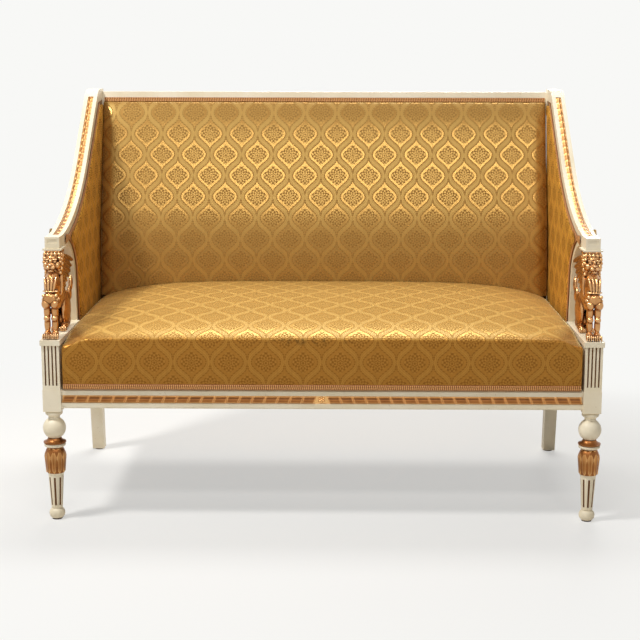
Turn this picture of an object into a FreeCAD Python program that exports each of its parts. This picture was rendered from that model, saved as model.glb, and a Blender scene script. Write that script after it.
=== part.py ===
import FreeCAD, Part
import Sketcher
import math
import os

# Two-seat empire sofa: painted frame with gilt carving, fixed padded back and arms, loose sprung seat.
# Millimetres, +Z up. The origin is on the floor under the middle of the sofa, and the front looks to -Y.
# Local outlines measure y from the front face of the front leg blocks; every placement moves them back.

SIZES = {
    # Whole sofa: across the front leg blocks, from leg balls to crest back, floor to arm tips.
    "overall_width": 1260,
    "overall_depth": 742,
    "overall_height": 963,
    "fit_gap": 0.3,
    # Front legs, heights from the floor and radii of the turned part.
    "block_width": 41,
    "block_bottom": 257,
    "pilaster_inset": 0.75,
    "pilaster_top": 410,
    "glide_thick": 3.5,
    "glide_radius": 11.5,
    "foot_seat_radius": 13.5,
    "foot_round": 14.3,
    "foot_top": 26,
    "ankle_radius": 11.5,
    "shaft_bottom": 28,
    "shaft_bottom_radius": 12.8,
    "shaft_top": 107,
    "shaft_top_radius": 17.5,
    "lotus_bottom": 111,
    "lotus_bottom_radius": 19.5,
    "lotus_wide": 150,
    "lotus_radius": 22.8,
    "lotus_side_round": 120,
    "lotus_top": 171,
    "lotus_top_radius": 16,
    "lotus_top_round": 24,
    "disc_bottom": 173,
    "disc_top": 180.5,
    "disc_radius": 22.5,
    "disc_round": 4.5,
    "collar_bottom": 181.5,
    "collar_lip": 2.5,
    "collar_radius": 25.5,
    "collar_top_radius": 15,
    "collar_round": 14,
    "ball_centre": 215.5,
    "ball_radius": 26,
    "ball_cut_radius": 13,
    "neck_bottom": 243,
    "neck_ring_bottom": 246,
    "neck_ring_radius": 15.5,
    "neck_ring_round": 5.7,
    "shaft_flutes": 8,
    "shaft_flute_radius": 2.6,
    "shaft_flute_margin": 6,
    "pilaster_flutes": 4,
    "pilaster_flute_pitch": 8.2,
    "pilaster_flute_radius": 1.7,
    "pilaster_flute_bottom": 318,
    # Seat rails and their joints.
    "rail_top": 308,
    "rail_height": 44,
    "front_rail_setback": 5,
    "front_rail_thick": 26,
    "front_rail_round": 4,
    "groove_bottom": 277,
    "groove_height": 18,
    "groove_depth": 5,
    "moulding_end_gap": 3,
    "side_rail_thick": 28,
    "tenon_thick": 10,
    "tenon_long": 18,
    "tenon_shoulder": 7,
    "front_tenon_setback": 12,
    "rear_tenon_long": 13,
    "rear_tenon_setback": 15,
    # Strips that carry the loose seat, and the bracing below them.
    "ledger_height": 24,
    "side_ledger_width": 35,
    "rear_ledger_width": 40,
    "brace_width": 44,
    "block_height": 17,
    "block_inner_reach": 77,
    "block_outer_reach": 49,
    "screw_radius": 2.5,
    "screw_long": 60,
    "screw_head_radius": 5,
    "screw_head_high": 3,
    # Rear posts: y of the front face and thickness front to back at foot, seat and top.
    "seat_depth": 552,
    "post_width": 31,
    "post_foot_y": 590,
    "post_foot_depth": 32,
    "post_straight_bottom": 250,
    "post_bend": 330,
    "post_seat_depth": 44,
    "post_top_depth": 33,
    # Back frame between the posts.
    "back_rail_thick": 26.5,
    "crest_drop": 7,
    "crest_height": 60,
    "lower_back_bottom": 430,
    "lower_back_height": 46,
    "centre_upright_width": 50,
    "cover_thick": 1.5,
    # Arms, seen from the side: a die, a concave sweep, a straight climb and a rounded tip.
    "arm_width": 33,
    "die_front": 62,
    "die_back": 118,
    "die_bottom": 628,
    "die_top": 647,
    "die_panel_margin": 5,
    "die_panel_depth": 1.5,
    "sweep_start": 106,
    "sweep_start_slope": 6,
    "sweep_radius": 625,
    "sweep_low_slope": 20,
    "climb_start_y": 442.4,
    "climb_start_z": 788.8,
    "climb_slope": 40,
    "tip_radius": 77,
    "tip_flat": 27,
    "arm_thick": 30,
    "arm_joint_bottom": 895,
    "channel_width": 14,
    "channel_depth": 4,
    "chain_width": 13,
    "chain_rise": 1,
    "abacus_height": 11,
    "abacus_flare": 5,
    "abacus_lip": 3.5,
    # Arm uprights with the curved bracket, plinth boards and lower arm rails.
    "upright_front": 250,
    "upright_lean": 14,
    "upright_depth": 30,
    "bracket_bottom": 556,
    "bracket_tip": 621,
    "bracket_radius": 120,
    "bracket_back_radius": 160,
    "upright_tenon_deep": 20,
    "arm_lower_rail_bottom": 330,
    "arm_lower_rail_height": 30,
    "arm_lower_rail_thick": 24,
    # Plates and winged lions.
    "plate_thick": 12,
    "plate_overhang": 2,
    "dowel_radius": 4,
    "dowel_deep": 9,
    "lion_leg_radius": 8,
    "lion_leg_spread": 9.5,
    "lion_leg_y": 27,
    "lion_leg_height": 80,
    "lion_paw_width": 18,
    "lion_paw_front": 3,
    "lion_paw_long": 38,
    "lion_paw_high": 13,
    "lion_body_wide": 35,
    "lion_breast_y": 18,
    "lion_breast_step": 8,
    "lion_breast_up": 108,
    "lion_belly_up": 68,
    "lion_throat_y": 38,
    "lion_throat_up": 152,
    "lion_nape_up": 148,
    "lion_rump_y": 184,
    "lion_rump_up": 64,
    "lion_groin_up": 40,
    "lion_haunch_y": 150,
    "lion_hind_paw_y": 112,
    "lion_hind_paw_long": 62,
    "lion_hind_paw_wide": 15,
    "lion_hind_paw_high": 11,
    "lion_head_y": 82,
    "lion_muzzle_wide": 22,
    "lion_muzzle_front": 40,
    "lion_muzzle_low": 44,
    "lion_muzzle_high": 22,
    "lion_crown_wide": 34,
    "lion_crown_front": 58,
    "lion_crown_long": 54,
    "lion_crown_high": 14,
    "lion_wing_root_y": 50,
    "lion_wing_root_up": 98,
    "lion_wing_shoulder_y": 58,
    "lion_wing_shoulder_up": 158,
    "lion_wing_tip_y": 226,
    "lion_wing_tip_up": 138,
    "lion_wing_top_round": 134,
    "lion_wing_low_round": 270,
    "lion_wing_spread": 11,
    "lion_wing_thick": 9,
    # Padding, covers and braid.
    "hessian_thick": 1,
    "arm_pad_thick": 3,
    "arm_edge_drop": 20,
    "arm_edge_front": 127,
    "arm_edge_tip_z": 634,
    "arm_edge_set": 13,
    "arm_tip_run": 5.77,
    "arm_tip_fall": 0.32,
    "arm_edge_top": 934,
    "arm_pad_bottom": 345,
    "gimp_width": 11,
    "back_strap_width": 60,
    "back_straps": 7,
    "strap_thick": 1.5,
    "back_pad_half_gap": 24,
    "back_pad_bottom": 432,
    "back_pad_shoulder_drop": 43,
    "back_pad_top_drop": 33,
    "back_pad_seat_gap": 4.4,
    "back_pad_middle_thick": 29.5,
    "back_pad_shoulder_thick": 17,
    "back_pad_top_thick": 6,
    "back_gimp_thick": 4,
    # Loose seat.
    "seat_half_gap": 5,
    "seat_front": 1.5,
    "seat_back_gap": 17,
    "seat_cover_thick": 3,
    "seat_bottom_gap": 2,
    "seat_edge_height": 430,
    "seat_back_height": 446,
    "seat_crown_radius": 1200,
    "seat_frame_width": 45,
    "seat_frame_thick": 28,
    "seat_frame_tenon": 25,
    "seat_lining_height": 405.5,
    "seat_gimp_thick": 2,
    "seat_strap_width": 55,
    "seat_strap_columns": 6,
    "seat_strap_rows": 3,
    "seat_strap_margin": 15,
    "spring_radius": 34,
    "spring_wire": 4,
    "spring_turns": 4,
}

doc = FreeCAD.newDocument("empire_sofa")
sheet = doc.addObject("Spreadsheet::Sheet", "Sizes")
for row, (alias, number) in enumerate(SIZES.items(), 1):
    sheet.set(f"A{row}", alias)
    sheet.set(f"B{row}", str(number))
    sheet.setAlias(f"B{row}", alias)
doc.recompute()


class Size:
    """A number together with the sheet expression that gives it."""

    def __init__(self, value, text):
        self.value = value
        self.text = text

    def __add__(self, other):
        other = as_size(other)
        return Size(self.value + other.value, f"({self.text} + {other.text})")

    def __sub__(self, other):
        other = as_size(other)
        return Size(self.value - other.value, f"({self.text} - {other.text})")

    def __mul__(self, other):
        other = as_size(other)
        return Size(self.value * other.value, f"({self.text} * {other.text})")

    def __truediv__(self, other):
        other = as_size(other)
        return Size(self.value / other.value, f"({self.text} / {other.text})")

    def __radd__(self, other):
        return as_size(other) + self

    def __rsub__(self, other):
        return as_size(other) - self

    def __rmul__(self, other):
        return as_size(other) * self

    def __neg__(self):
        return as_size(0) - self


def as_size(number):
    return number if isinstance(number, Size) else Size(float(number), repr(float(number)))


def cell(alias):
    return Size(float(sheet.get(alias)), f"Sizes.{alias}")


def sine(angle):
    return Size(math.sin(math.radians(angle.value)), f"sin({angle.text} * 1 deg)")


def cosine(angle):
    return Size(math.cos(math.radians(angle.value)), f"cos({angle.text} * 1 deg)")


def bind(target, **sizes):
    for name, size in sizes.items():
        target.setExpression(name, as_size(size).text)


def place(target, x, y, z):
    """Binds a placement's base; what it turns by is left alone."""
    for axis, size in zip("xyz", (x, y, z)):
        target.setExpression(f"Placement.Base.{axis}", as_size(size).text)


pieces = []


def piece(label, x=0, y=0, z=0):
    """A new named body, placed by a point measured from the front face of the leg blocks."""
    body = doc.addObject("PartDesign::Body", label)
    body.Label = label
    place(body, x, y - front_shift, z)
    pieces.append(body)
    return body


def origin_plane(body, role):
    return next(item for item in body.Origin.OriginFeatures if item.Role == role)


def add(body, kind):
    feature = body.newObject(kind, kind.split("::")[1])
    body.Tip = feature
    return feature


def box(body, kind, x0, x1, y0, y1, z0, z1):
    """An added or cut-out block between three pairs of limits."""
    block = add(body, f"PartDesign::{kind}Box")
    bind(block, Length=as_size(x1) - x0, Width=as_size(y1) - y0, Height=as_size(z1) - z0)
    place(block, x0, y0, z0)
    return block


def cylinder(body, kind, radius, height, x, y, z, turn=None):
    rod = add(body, f"PartDesign::{kind}Cylinder")
    bind(rod, Radius=radius, Height=height)
    if turn:
        rod.Placement = FreeCAD.Placement(FreeCAD.Vector(), turn)
    place(rod, x, y, z)
    return rod


LINE = None


class Corner:
    """A corner of an outline; the edge that leaves it is straight, or an arc turning left (1) or right (-1)."""

    def __init__(self, u, v, radius=LINE, turn=1):
        self.u = as_size(u)
        self.v = as_size(v)
        self.radius = radius
        self.turn = turn

    def vector(self):
        return FreeCAD.Vector(self.u.value, self.v.value, 0)


def edge_between(corner, following):
    """The sketch edge from one corner to the next, and which of its ends lies on which corner."""
    start = corner.vector()
    end = following.vector()
    if corner.radius is LINE:
        return Part.LineSegment(start, end), (1, 2)
    chord = end - start
    left = FreeCAD.Vector(-chord.y, chord.x, 0)
    left.normalize()
    radius = corner.radius.value
    reach = math.sqrt(radius**2 - (chord.Length / 2) ** 2)
    centre = (start + end) * 0.5 + left * (reach * corner.turn)
    angles = [math.atan2(point.y - centre.y, point.x - centre.x) for point in (start, end)]
    if corner.turn < 0:
        angles.reverse()
    circle = Part.Circle(centre, FreeCAD.Vector(0, 0, 1), radius)
    return Part.ArcOfCircle(circle, *angles), (1, 2) if corner.turn > 0 else (2, 1)


def draw(body, role, corners, lift=0):
    """A closed, fully constrained outline on one of the body's own planes, or parallel to it at a lift."""
    sketch = body.newObject("Sketcher::SketchObject", "Outline")
    sketch.AttachmentSupport = (origin_plane(body, role), [""])
    sketch.MapMode = "FlatFace"
    sketch.setExpression("AttachmentOffset.Base.z", as_size(lift).text)
    ends = []
    for corner, following in zip(corners, corners[1:] + corners[:1]):
        edge, order = edge_between(corner, following)
        sketch.addGeometry(edge)
        ends.append(order)
    for index in range(len(corners)):
        following = (index + 1) % len(corners)
        joint = Sketcher.Constraint("Coincident", index, ends[index][1], following, ends[following][0])
        sketch.addConstraint(joint)
    for index, corner in enumerate(corners):
        for kind, size in (("DistanceX", corner.u), ("DistanceY", corner.v)):
            rule = Sketcher.Constraint(kind, -1, 1, index, ends[index][0], size.value)
            bind_rule(sketch, rule, f"{kind}_{index}", size)
        if corner.radius is not LINE:
            rule = Sketcher.Constraint("Radius", index, corner.radius.value)
            bind_rule(sketch, rule, f"Radius_{index}", corner.radius)
    return sketch


def bind_rule(sketch, rule, name, size):
    number = sketch.addConstraint(rule)
    sketch.renameConstraint(number, name)
    sketch.setExpression(f"Constraints.{name}", size.text)


def pad(body, sketch, length, side="Symmetric", reverse=False):
    feature = add(body, "PartDesign::Pad")
    feature.Profile = sketch
    feature.SideType = side
    feature.Reversed = reverse
    bind(feature, Length=length)
    return feature


def pocket(body, sketch, length):
    feature = add(body, "PartDesign::Pocket")
    feature.Profile = sketch
    feature.SideType = "Symmetric"
    bind(feature, Length=length)
    return feature


def revolve(body, sketch):
    feature = add(body, "PartDesign::Revolution")
    feature.Profile = sketch
    feature.ReferenceAxis = (sketch, ["V_Axis"])
    feature.Angle = 360
    return feature


def row_of(body, original, role, count, length, reverse=False):
    """A cut repeated along an axis of the body."""
    pattern = add(body, "PartDesign::LinearPattern")
    pattern.Originals = [original]
    pattern.Direction = (origin_plane(body, role), [""])
    pattern.Reversed = reverse
    bind(pattern, Length=length, Occurrences=count)
    return pattern


def ring_of(body, original, count):
    pattern = add(body, "PartDesign::PolarPattern")
    pattern.Originals = [original]
    pattern.Axis = (origin_plane(body, "Z_Axis"), [""])
    pattern.Angle = 360
    bind(pattern, Occurrences=count)
    return pattern


def group(label, shapes):
    """A node of several like solids, which are worked out from the sheet and copied into place."""
    node = doc.addObject("Part::Feature", label)
    node.Label = label
    node.Shape = Part.makeCompound(shapes)
    node.Placement = FreeCAD.Placement(FreeCAD.Vector(0, -front_shift.value, 0), FreeCAD.Rotation())
    pieces.append(node)
    return node


def solid_box(x0, x1, y0, y1, z0, z1):
    limits = [as_size(limit).value for limit in (x0, x1, y0, y1, z0, z1)]
    corner = FreeCAD.Vector(limits[0], limits[2], limits[4])
    return Part.makeBox(limits[1] - limits[0], limits[3] - limits[2], limits[5] - limits[4], corner)


SIDES = (("left", -1), ("right", 1))
UP = FreeCAD.Vector(0, 0, 1)

# Places shared by several pieces.
half_block = cell("block_width") / 2
front_shift = cell("overall_depth") / 2 + half_block - cell("ball_radius")
side_axis = cell("overall_width") / 2 - half_block
inner_face = cell("overall_width") / 2 - cell("block_width")
height = cell("overall_height")
rail_top = cell("rail_top")
rail_bottom = rail_top - cell("rail_height")
seat_depth = cell("seat_depth")
half_arm = cell("arm_width") / 2
half_post = cell("post_width") / 2
half_side_rail = cell("side_rail_thick") / 2
front_rail_back = cell("front_rail_setback") + cell("front_rail_thick")
side_rail_inner = side_axis - half_side_rail
post_inner = side_axis - half_post
ledger_bottom = rail_top - cell("ledger_height")
block_top = ledger_bottom - 1
block_low = block_top - cell("block_height")
screw_height = block_low + cell("block_height") / 2
plate_top = cell("pilaster_top") + cell("plate_thick")
abacus_bottom = cell("die_bottom") - cell("abacus_height")
tenon_low = rail_bottom + cell("tenon_shoulder")
tenon_high = rail_top - cell("tenon_shoulder")
half_tenon = cell("tenon_thick") / 2
post_top_y = cell("overall_depth") + half_block - cell("ball_radius") - cell("post_top_depth")
post_rake = (post_top_y - seat_depth) / (height - cell("post_bend"))


def post_front(z):
    """Where the raked front plane of the back lies at a height."""
    return seat_depth + (as_size(z) - cell("post_bend")) * post_rake


def diagonal(side, depth_sign):
    """The turn that points a z axis into a seat corner: sideways by side, front (-1) or back (1)."""
    return FreeCAD.Rotation(UP, FreeCAD.Vector(side, depth_sign, 0))


def front_leg(name, side):
    """Turned leg, square block and fluted pilaster in one piece, on its own axis."""
    body = piece(f"front_leg_{name}", side_axis * side, half_block)
    ball_half = Size(
        math.sqrt(cell("ball_radius").value ** 2 - cell("ball_cut_radius").value ** 2),
        "sqrt(Sizes.ball_radius ^ 2 - Sizes.ball_cut_radius ^ 2)",
    )
    ball_low = cell("ball_centre") - ball_half
    ball_high = cell("ball_centre") + ball_half
    turning = [
        Corner(0, cell("glide_thick")),
        Corner(cell("foot_seat_radius"), cell("glide_thick"), cell("foot_round")),
        Corner(cell("ankle_radius"), cell("foot_top")),
        Corner(cell("ankle_radius"), cell("shaft_bottom")),
        Corner(cell("shaft_bottom_radius"), cell("shaft_bottom")),
        Corner(cell("shaft_top_radius"), cell("shaft_top")),
        Corner(cell("lotus_bottom_radius"), cell("lotus_bottom"), cell("lotus_side_round")),
        Corner(cell("lotus_radius"), cell("lotus_wide"), cell("lotus_top_round")),
        Corner(cell("lotus_top_radius"), cell("lotus_top")),
        Corner(cell("lotus_top_radius"), cell("disc_bottom")),
        Corner(cell("disc_radius"), cell("disc_bottom"), cell("disc_round")),
        Corner(cell("disc_radius"), cell("disc_top")),
        Corner(cell("lotus_top_radius"), cell("disc_top")),
        Corner(cell("lotus_top_radius"), cell("collar_bottom")),
        Corner(cell("collar_radius"), cell("collar_bottom")),
        Corner(cell("collar_radius"), cell("collar_bottom") + cell("collar_lip"), cell("collar_round"), -1),
        Corner(cell("collar_top_radius"), ball_low),
        Corner(cell("ball_cut_radius"), ball_low, cell("ball_radius")),
        Corner(cell("ball_cut_radius"), ball_high),
        Corner(cell("ball_cut_radius"), cell("neck_bottom")),
        Corner(cell("neck_ring_radius"), cell("neck_ring_bottom"), cell("neck_ring_round")),
        Corner(cell("neck_ring_radius"), cell("block_bottom")),
        Corner(0, cell("block_bottom")),
    ]
    revolve(body, draw(body, "XZ_Plane", turning))
    half_pilaster = half_block - cell("pilaster_inset")
    box(body, "Additive", -half_block, half_block, -half_block, half_block, cell("block_bottom"), rail_top)
    box(body, "Additive", -half_pilaster, half_pilaster, -half_pilaster, half_pilaster,
        rail_top, cell("pilaster_top"))
    # Flutes of the tapered shaft.
    shaft_long = cell("shaft_top") - cell("shaft_bottom")
    widening = cell("shaft_top_radius") - cell("shaft_bottom_radius")
    lean = math.degrees(math.atan2(widening.value, shaft_long.value))
    taper = FreeCAD.Rotation(FreeCAD.Vector(0, 1, 0), lean)
    margin = cell("shaft_flute_margin")
    flute = cylinder(
        body, "Subtractive", cell("shaft_flute_radius"), shaft_long - margin * 2,
        cell("shaft_bottom_radius") + widening * margin / shaft_long + cell("shaft_flute_radius") / 3,
        0, cell("shaft_bottom") + margin, taper)
    ring_of(body, flute, cell("shaft_flutes"))
    # Flutes of the pilaster, on its front and on its outer side.
    flute_span = (cell("pilaster_flutes") - 1) * cell("pilaster_flute_pitch")
    flute_long = cell("pilaster_top") - cell("pilaster_flute_bottom")
    for x, y, axis in (
        (-flute_span / 2, -half_pilaster, "X_Axis"),
        (half_pilaster * side, -flute_span / 2, "Y_Axis"),
    ):
        flute = cylinder(body, "Subtractive", cell("pilaster_flute_radius"), flute_long,
                         x, y, cell("pilaster_flute_bottom"))
        row_of(body, flute, axis, cell("pilaster_flutes"), flute_span)
    # Mortises for the front rail and the side rail, and the hole for the corner screw.
    inner = -half_block * side
    deep = inner + cell("tenon_long") * side
    front_tenon = cell("front_tenon_setback") - half_block
    box(body, "Subtractive", *sorted((inner, deep), key=lambda size: size.value),
        front_tenon, front_tenon + cell("tenon_thick"), tenon_low, tenon_high)
    box(body, "Subtractive", -half_tenon, half_tenon,
        half_block - cell("rear_tenon_long"), half_block, tenon_low, tenon_high)
    corner_hole(body, side, -1, side_axis * side, half_block)
    return body


def screw_start(side, depth_sign):
    """The middle of the corner block's inner face, in sofa coordinates."""
    x = (side_rail_inner - cell("block_inner_reach") / 2) * side
    wall = front_rail_back if depth_sign < 0 else seat_depth
    y = wall - cell("block_inner_reach") / 2 * depth_sign
    return x, y


def corner_hole(body, side, depth_sign, body_x, body_y):
    """A clearance hole for the diagonal screw, in a body placed at a given x and y."""
    start_x, start_y = screw_start(side, depth_sign)
    cylinder(
        body, "Subtractive", cell("screw_radius") + cell("fit_gap"), cell("screw_long") + cell("fit_gap"),
        start_x - body_x, start_y - body_y, screw_height, diagonal(side, depth_sign))


def rear_post(name, side):
    """Rear leg and back stile sawn from one board."""
    body = piece(f"rear_post_{name}", side_axis * side)
    outline = [
        Corner(cell("post_foot_y"), cell("glide_thick")),
        Corner(cell("post_foot_y") + cell("post_foot_depth"), cell("glide_thick")),
        Corner(seat_depth + cell("post_seat_depth"), cell("post_straight_bottom")),
        Corner(seat_depth + cell("post_seat_depth"), cell("post_bend")),
        Corner(post_top_y + cell("post_top_depth"), height),
        Corner(post_top_y, height),
        Corner(seat_depth, cell("post_bend")),
        Corner(seat_depth, cell("post_straight_bottom")),
    ]
    pad(body, draw(body, "YZ_Plane", outline), cell("post_width"))
    box(body, "Subtractive", -half_tenon, half_tenon, seat_depth, seat_depth + cell("rear_tenon_long"),
        tenon_low, tenon_high)
    inner = -half_post * side
    deep = inner + cell("tenon_long") * side
    rear_tenon = seat_depth + cell("rear_tenon_setback")
    box(body, "Subtractive", *sorted((inner, deep), key=lambda size: size.value),
        rear_tenon, rear_tenon + cell("tenon_thick"), tenon_low, tenon_high)
    corner_hole(body, side, 1, side_axis * side, 0)
    return body


def cross_rail(label, outline, length, tenon):
    """A rail along x with a tenon at each end; the tenon has its own outline."""
    body = piece(label)
    pad(body, draw(body, "YZ_Plane", outline), length)
    if tenon:
        pad(body, draw(body, "YZ_Plane", tenon), length + cell("tenon_long") * 2)
    return body


def rectangle(u0, u1, v0, v1):
    return [Corner(u0, v0), Corner(u1, v0), Corner(u1, v1), Corner(u0, v1)]


def raked(z0, z1, near, far):
    """A slab outline that follows the raked plane of the back, between two distances behind it."""
    return [
        Corner(post_front(z0) + near, z0),
        Corner(post_front(z0) + far, z0),
        Corner(post_front(z1) + far, z1),
        Corner(post_front(z1) + near, z1),
    ]


def base_frame():
    for name, side in SIDES:
        front_leg(name, side)
        rear_post(name, side)
        rail = piece(f"side_seat_rail_{name}", side_axis * side)
        box(rail, "Additive", -half_side_rail, half_side_rail, cell("block_width"), seat_depth,
            rail_bottom, rail_top)
        box(rail, "Additive", -half_tenon, half_tenon, cell("block_width") - cell("rear_tenon_long"),
            seat_depth + cell("rear_tenon_long"), tenon_low, tenon_high)
        upright_back = cell("upright_front") + cell("upright_depth")
        box(rail, "Subtractive", -half_tenon, half_tenon, cell("upright_front") + half_tenon,
            upright_back - half_tenon, rail_top - cell("upright_tenon_deep"), rail_top)
        corner_hole(rail, side, 1, side_axis * side, 0)
    setback = cell("front_rail_setback")
    rounding = cell("front_rail_round")
    groove_top = cell("groove_bottom") + cell("groove_height")
    groove_back = setback + cell("groove_depth")
    profile = [
        Corner(front_rail_back, rail_bottom),
        Corner(front_rail_back, rail_top),
        Corner(setback + rounding, rail_top, rounding),
        Corner(setback, rail_top - rounding),
        Corner(setback, groove_top),
        Corner(groove_back, groove_top),
        Corner(groove_back, cell("groove_bottom")),
        Corner(setback, cell("groove_bottom")),
        Corner(setback, rail_bottom + rounding, rounding),
        Corner(setback + rounding, rail_bottom),
    ]
    front_tenon = cell("front_tenon_setback")
    cross_rail("front_seat_rail", profile, inner_face * 2,
               rectangle(front_tenon, front_tenon + cell("tenon_thick"), tenon_low, tenon_high))
    rear_tenon = seat_depth + cell("rear_tenon_setback")
    rear_back = seat_depth + cell("back_rail_thick")
    rear_profile = rectangle(seat_depth, rear_back, rail_bottom, rail_top)
    rear_rail = cross_rail("rear_seat_rail", rear_profile, post_inner * 2,
                           rectangle(rear_tenon, rear_tenon + cell("tenon_thick"), tenon_low, tenon_high))
    for _, side in SIDES:
        corner_hole(rear_rail, side, 1, 0, 0)
    strip = piece("front_rail_moulding")
    bulge = cell("groove_height")
    pad(strip, draw(strip, "YZ_Plane", [
        Corner(groove_back, cell("groove_bottom")),
        Corner(groove_back, groove_top),
        Corner(setback, groove_top, bulge),
        Corner(setback, cell("groove_bottom")),
    ]), (inner_face - cell("moulding_end_gap")) * 2)
    brace = piece("seat_cross_brace")
    half_brace = cell("brace_width") / 2
    box(brace, "Additive", -half_brace, half_brace, front_rail_back, seat_depth, block_low, block_top)


def seat_bearers():
    """Ledger strips, corner blocks and the diagonal screws that hold the blocks."""
    side_inner = side_rail_inner - cell("side_ledger_width")
    rear_inner = seat_depth - cell("rear_ledger_width")
    strips = [solid_box(-side_rail_inner, side_rail_inner, rear_inner, seat_depth, ledger_bottom, rail_top)]
    for start, end in ((-side_rail_inner, -side_inner), (side_inner, side_rail_inner)):
        strips.append(solid_box(start, end, cell("block_width"), rear_inner, ledger_bottom, rail_top))
    group("seat_ledgers", strips)
    blocks = []
    screws = []
    for _, side in SIDES:
        for depth_sign, wall in ((-1, front_rail_back), (1, seat_depth)):
            blocks.append(corner_block(side, depth_sign, wall.value))
            screws.append(corner_screw(side, depth_sign))
    group("corner_blocks", blocks)
    group("corner_screws", screws)


def corner_block(side, depth_sign, wall):
    """A diagonal brace from a cross rail to a side rail, with its screw hole."""
    rail = side_rail_inner.value
    near = cell("block_outer_reach").value
    far = cell("block_inner_reach").value
    corners = [
        (rail - far, wall),
        (rail - near, wall),
        (rail, wall - near * depth_sign),
        (rail, wall - far * depth_sign),
    ]
    points = [FreeCAD.Vector(x * side, y, block_low.value) for x, y in corners]
    face = Part.Face(Part.makePolygon(points + points[:1]))
    block = face.extrude(UP * cell("block_height").value)
    return block.cut(screw_rod(side, depth_sign, cell("screw_radius").value + cell("fit_gap").value, 0))


def screw_rod(side, depth_sign, radius, offset):
    start_x, start_y = screw_start(side, depth_sign)
    start = FreeCAD.Vector(start_x.value, start_y.value, screw_height.value)
    aim = FreeCAD.Vector(side, depth_sign, 0)
    aim.normalize()
    return Part.makeCylinder(radius, cell("screw_long").value, start + aim * offset, aim)


def corner_screw(side, depth_sign):
    start_x, start_y = screw_start(side, depth_sign)
    aim = FreeCAD.Vector(-side, -depth_sign, 0)
    aim.normalize()
    start = FreeCAD.Vector(start_x.value, start_y.value, screw_height.value)
    head = Part.makeCylinder(cell("screw_head_radius").value, cell("screw_head_high").value, start, aim)
    return head.fuse(screw_rod(side, depth_sign, cell("screw_radius").value, 0)).removeSplitter()


def back_frame():
    thick = cell("back_rail_thick")
    crest_top = height - cell("crest_drop")
    crest_bottom = crest_top - cell("crest_height")
    lower_bottom = cell("lower_back_bottom")
    lower_top = lower_bottom + cell("lower_back_height")
    for label, low, high in (
        ("crest_rail", crest_bottom, crest_top),
        ("lower_back_rail", lower_bottom, lower_top),
    ):
        cross_rail(label, raked(low, high, 0, thick), post_inner * 2, None)
    upright = piece("back_centre_upright")
    stile = draw(upright, "YZ_Plane", raked(lower_top, crest_bottom, 0, thick))
    pad(upright, stile, cell("centre_upright_width"))
    cover = piece("outside_back_cover")
    behind = thick + cell("cover_thick")
    bend = cell("post_bend")
    low = rail_bottom + cell("tenon_shoulder")
    high = crest_top - cell("gimp_width")
    pad(cover, draw(cover, "YZ_Plane", [
        Corner(seat_depth + thick, low),
        Corner(seat_depth + behind, low),
        Corner(post_front(bend) + behind, bend),
        Corner(post_front(high) + behind, high),
        Corner(post_front(high) + thick, high),
        Corner(post_front(bend) + thick, bend),
    ]), (post_inner - cell("cover_thick")) * 2)


def below_arm_top(y, z, slope, drop):
    """A point dropped square from the arm's top edge, where the edge has a known slope."""
    return as_size(y) + sine(slope) * drop, as_size(z) - cosine(slope) * drop


def arm_top(drop):
    """The arm's top edge, dropped by a distance: its start, its bend, and both ends of the rounded tip."""
    steep = cell("climb_slope")
    tip_y = post_front(height) - cell("tip_flat")
    tip_start_y = tip_y - cell("tip_radius") * sine(steep)
    tip_start_z = height - cell("tip_radius") * (1 - cosine(steep))
    start = below_arm_top(cell("sweep_start"), cell("die_top"), cell("sweep_start_slope"), drop)
    bend = below_arm_top(cell("climb_start_y"), cell("climb_start_z"), steep, drop)
    tip_start = below_arm_top(tip_start_y, tip_start_z, steep, drop)
    return start, bend, tip_start, (tip_y, height - drop)


def arm_rail(name, side):
    body = piece(f"arm_rail_{name}", side_axis * side)
    start, bend, tip_start, tip = arm_top(as_size(0))
    thick = cell("arm_thick")
    joint = cell("arm_joint_bottom")
    low_bend = below_arm_top(cell("climb_start_y"), cell("climb_start_z"), cell("climb_slope"), thick)
    outline = [
        Corner(cell("die_front"), cell("die_bottom")),
        Corner(cell("die_back"), cell("die_bottom")),
        Corner(*bracket_end(), cell("sweep_radius") + thick),
        Corner(*low_bend),
        Corner(post_front(joint), joint),
        Corner(post_front(height), height),
        Corner(*tip, cell("tip_radius")),
        Corner(*tip_start),
        Corner(*bend, cell("sweep_radius"), -1),
        Corner(cell("sweep_start"), cell("die_top")),
        Corner(cell("die_front"), cell("die_top")),
    ]
    pad(body, draw(body, "YZ_Plane", outline), cell("arm_width"))
    # Channel for the gilt chain.
    depth = cell("channel_depth")
    low_start, low_bend, low_tip, _ = arm_top(depth)
    pocket(body, draw(body, "YZ_Plane", [
        Corner(*low_start, cell("sweep_radius") + depth),
        Corner(*low_bend),
        Corner(*low_tip),
        Corner(*tip_start),
        Corner(*bend, cell("sweep_radius"), -1),
        Corner(*start),
    ]), cell("channel_width"))
    # Sunk panel on the front of the die.
    margin = cell("die_panel_margin")
    box(body, "Subtractive", margin - half_arm, half_arm - margin, cell("die_front"),
        cell("die_front") + cell("die_panel_depth"), cell("die_bottom") + margin, cell("die_top") - margin)
    chain = piece(f"arm_moulding_{name}", side_axis * side)
    rise = cell("chain_rise")
    high_start, high_bend, high_tip, _ = arm_top(-rise)
    pad(chain, draw(chain, "YZ_Plane", [
        Corner(*low_start, cell("sweep_radius") + depth),
        Corner(*low_bend),
        Corner(*low_tip),
        Corner(*high_tip),
        Corner(*high_bend, cell("sweep_radius") - rise, -1),
        Corner(*high_start),
    ]), cell("chain_width"))


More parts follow.
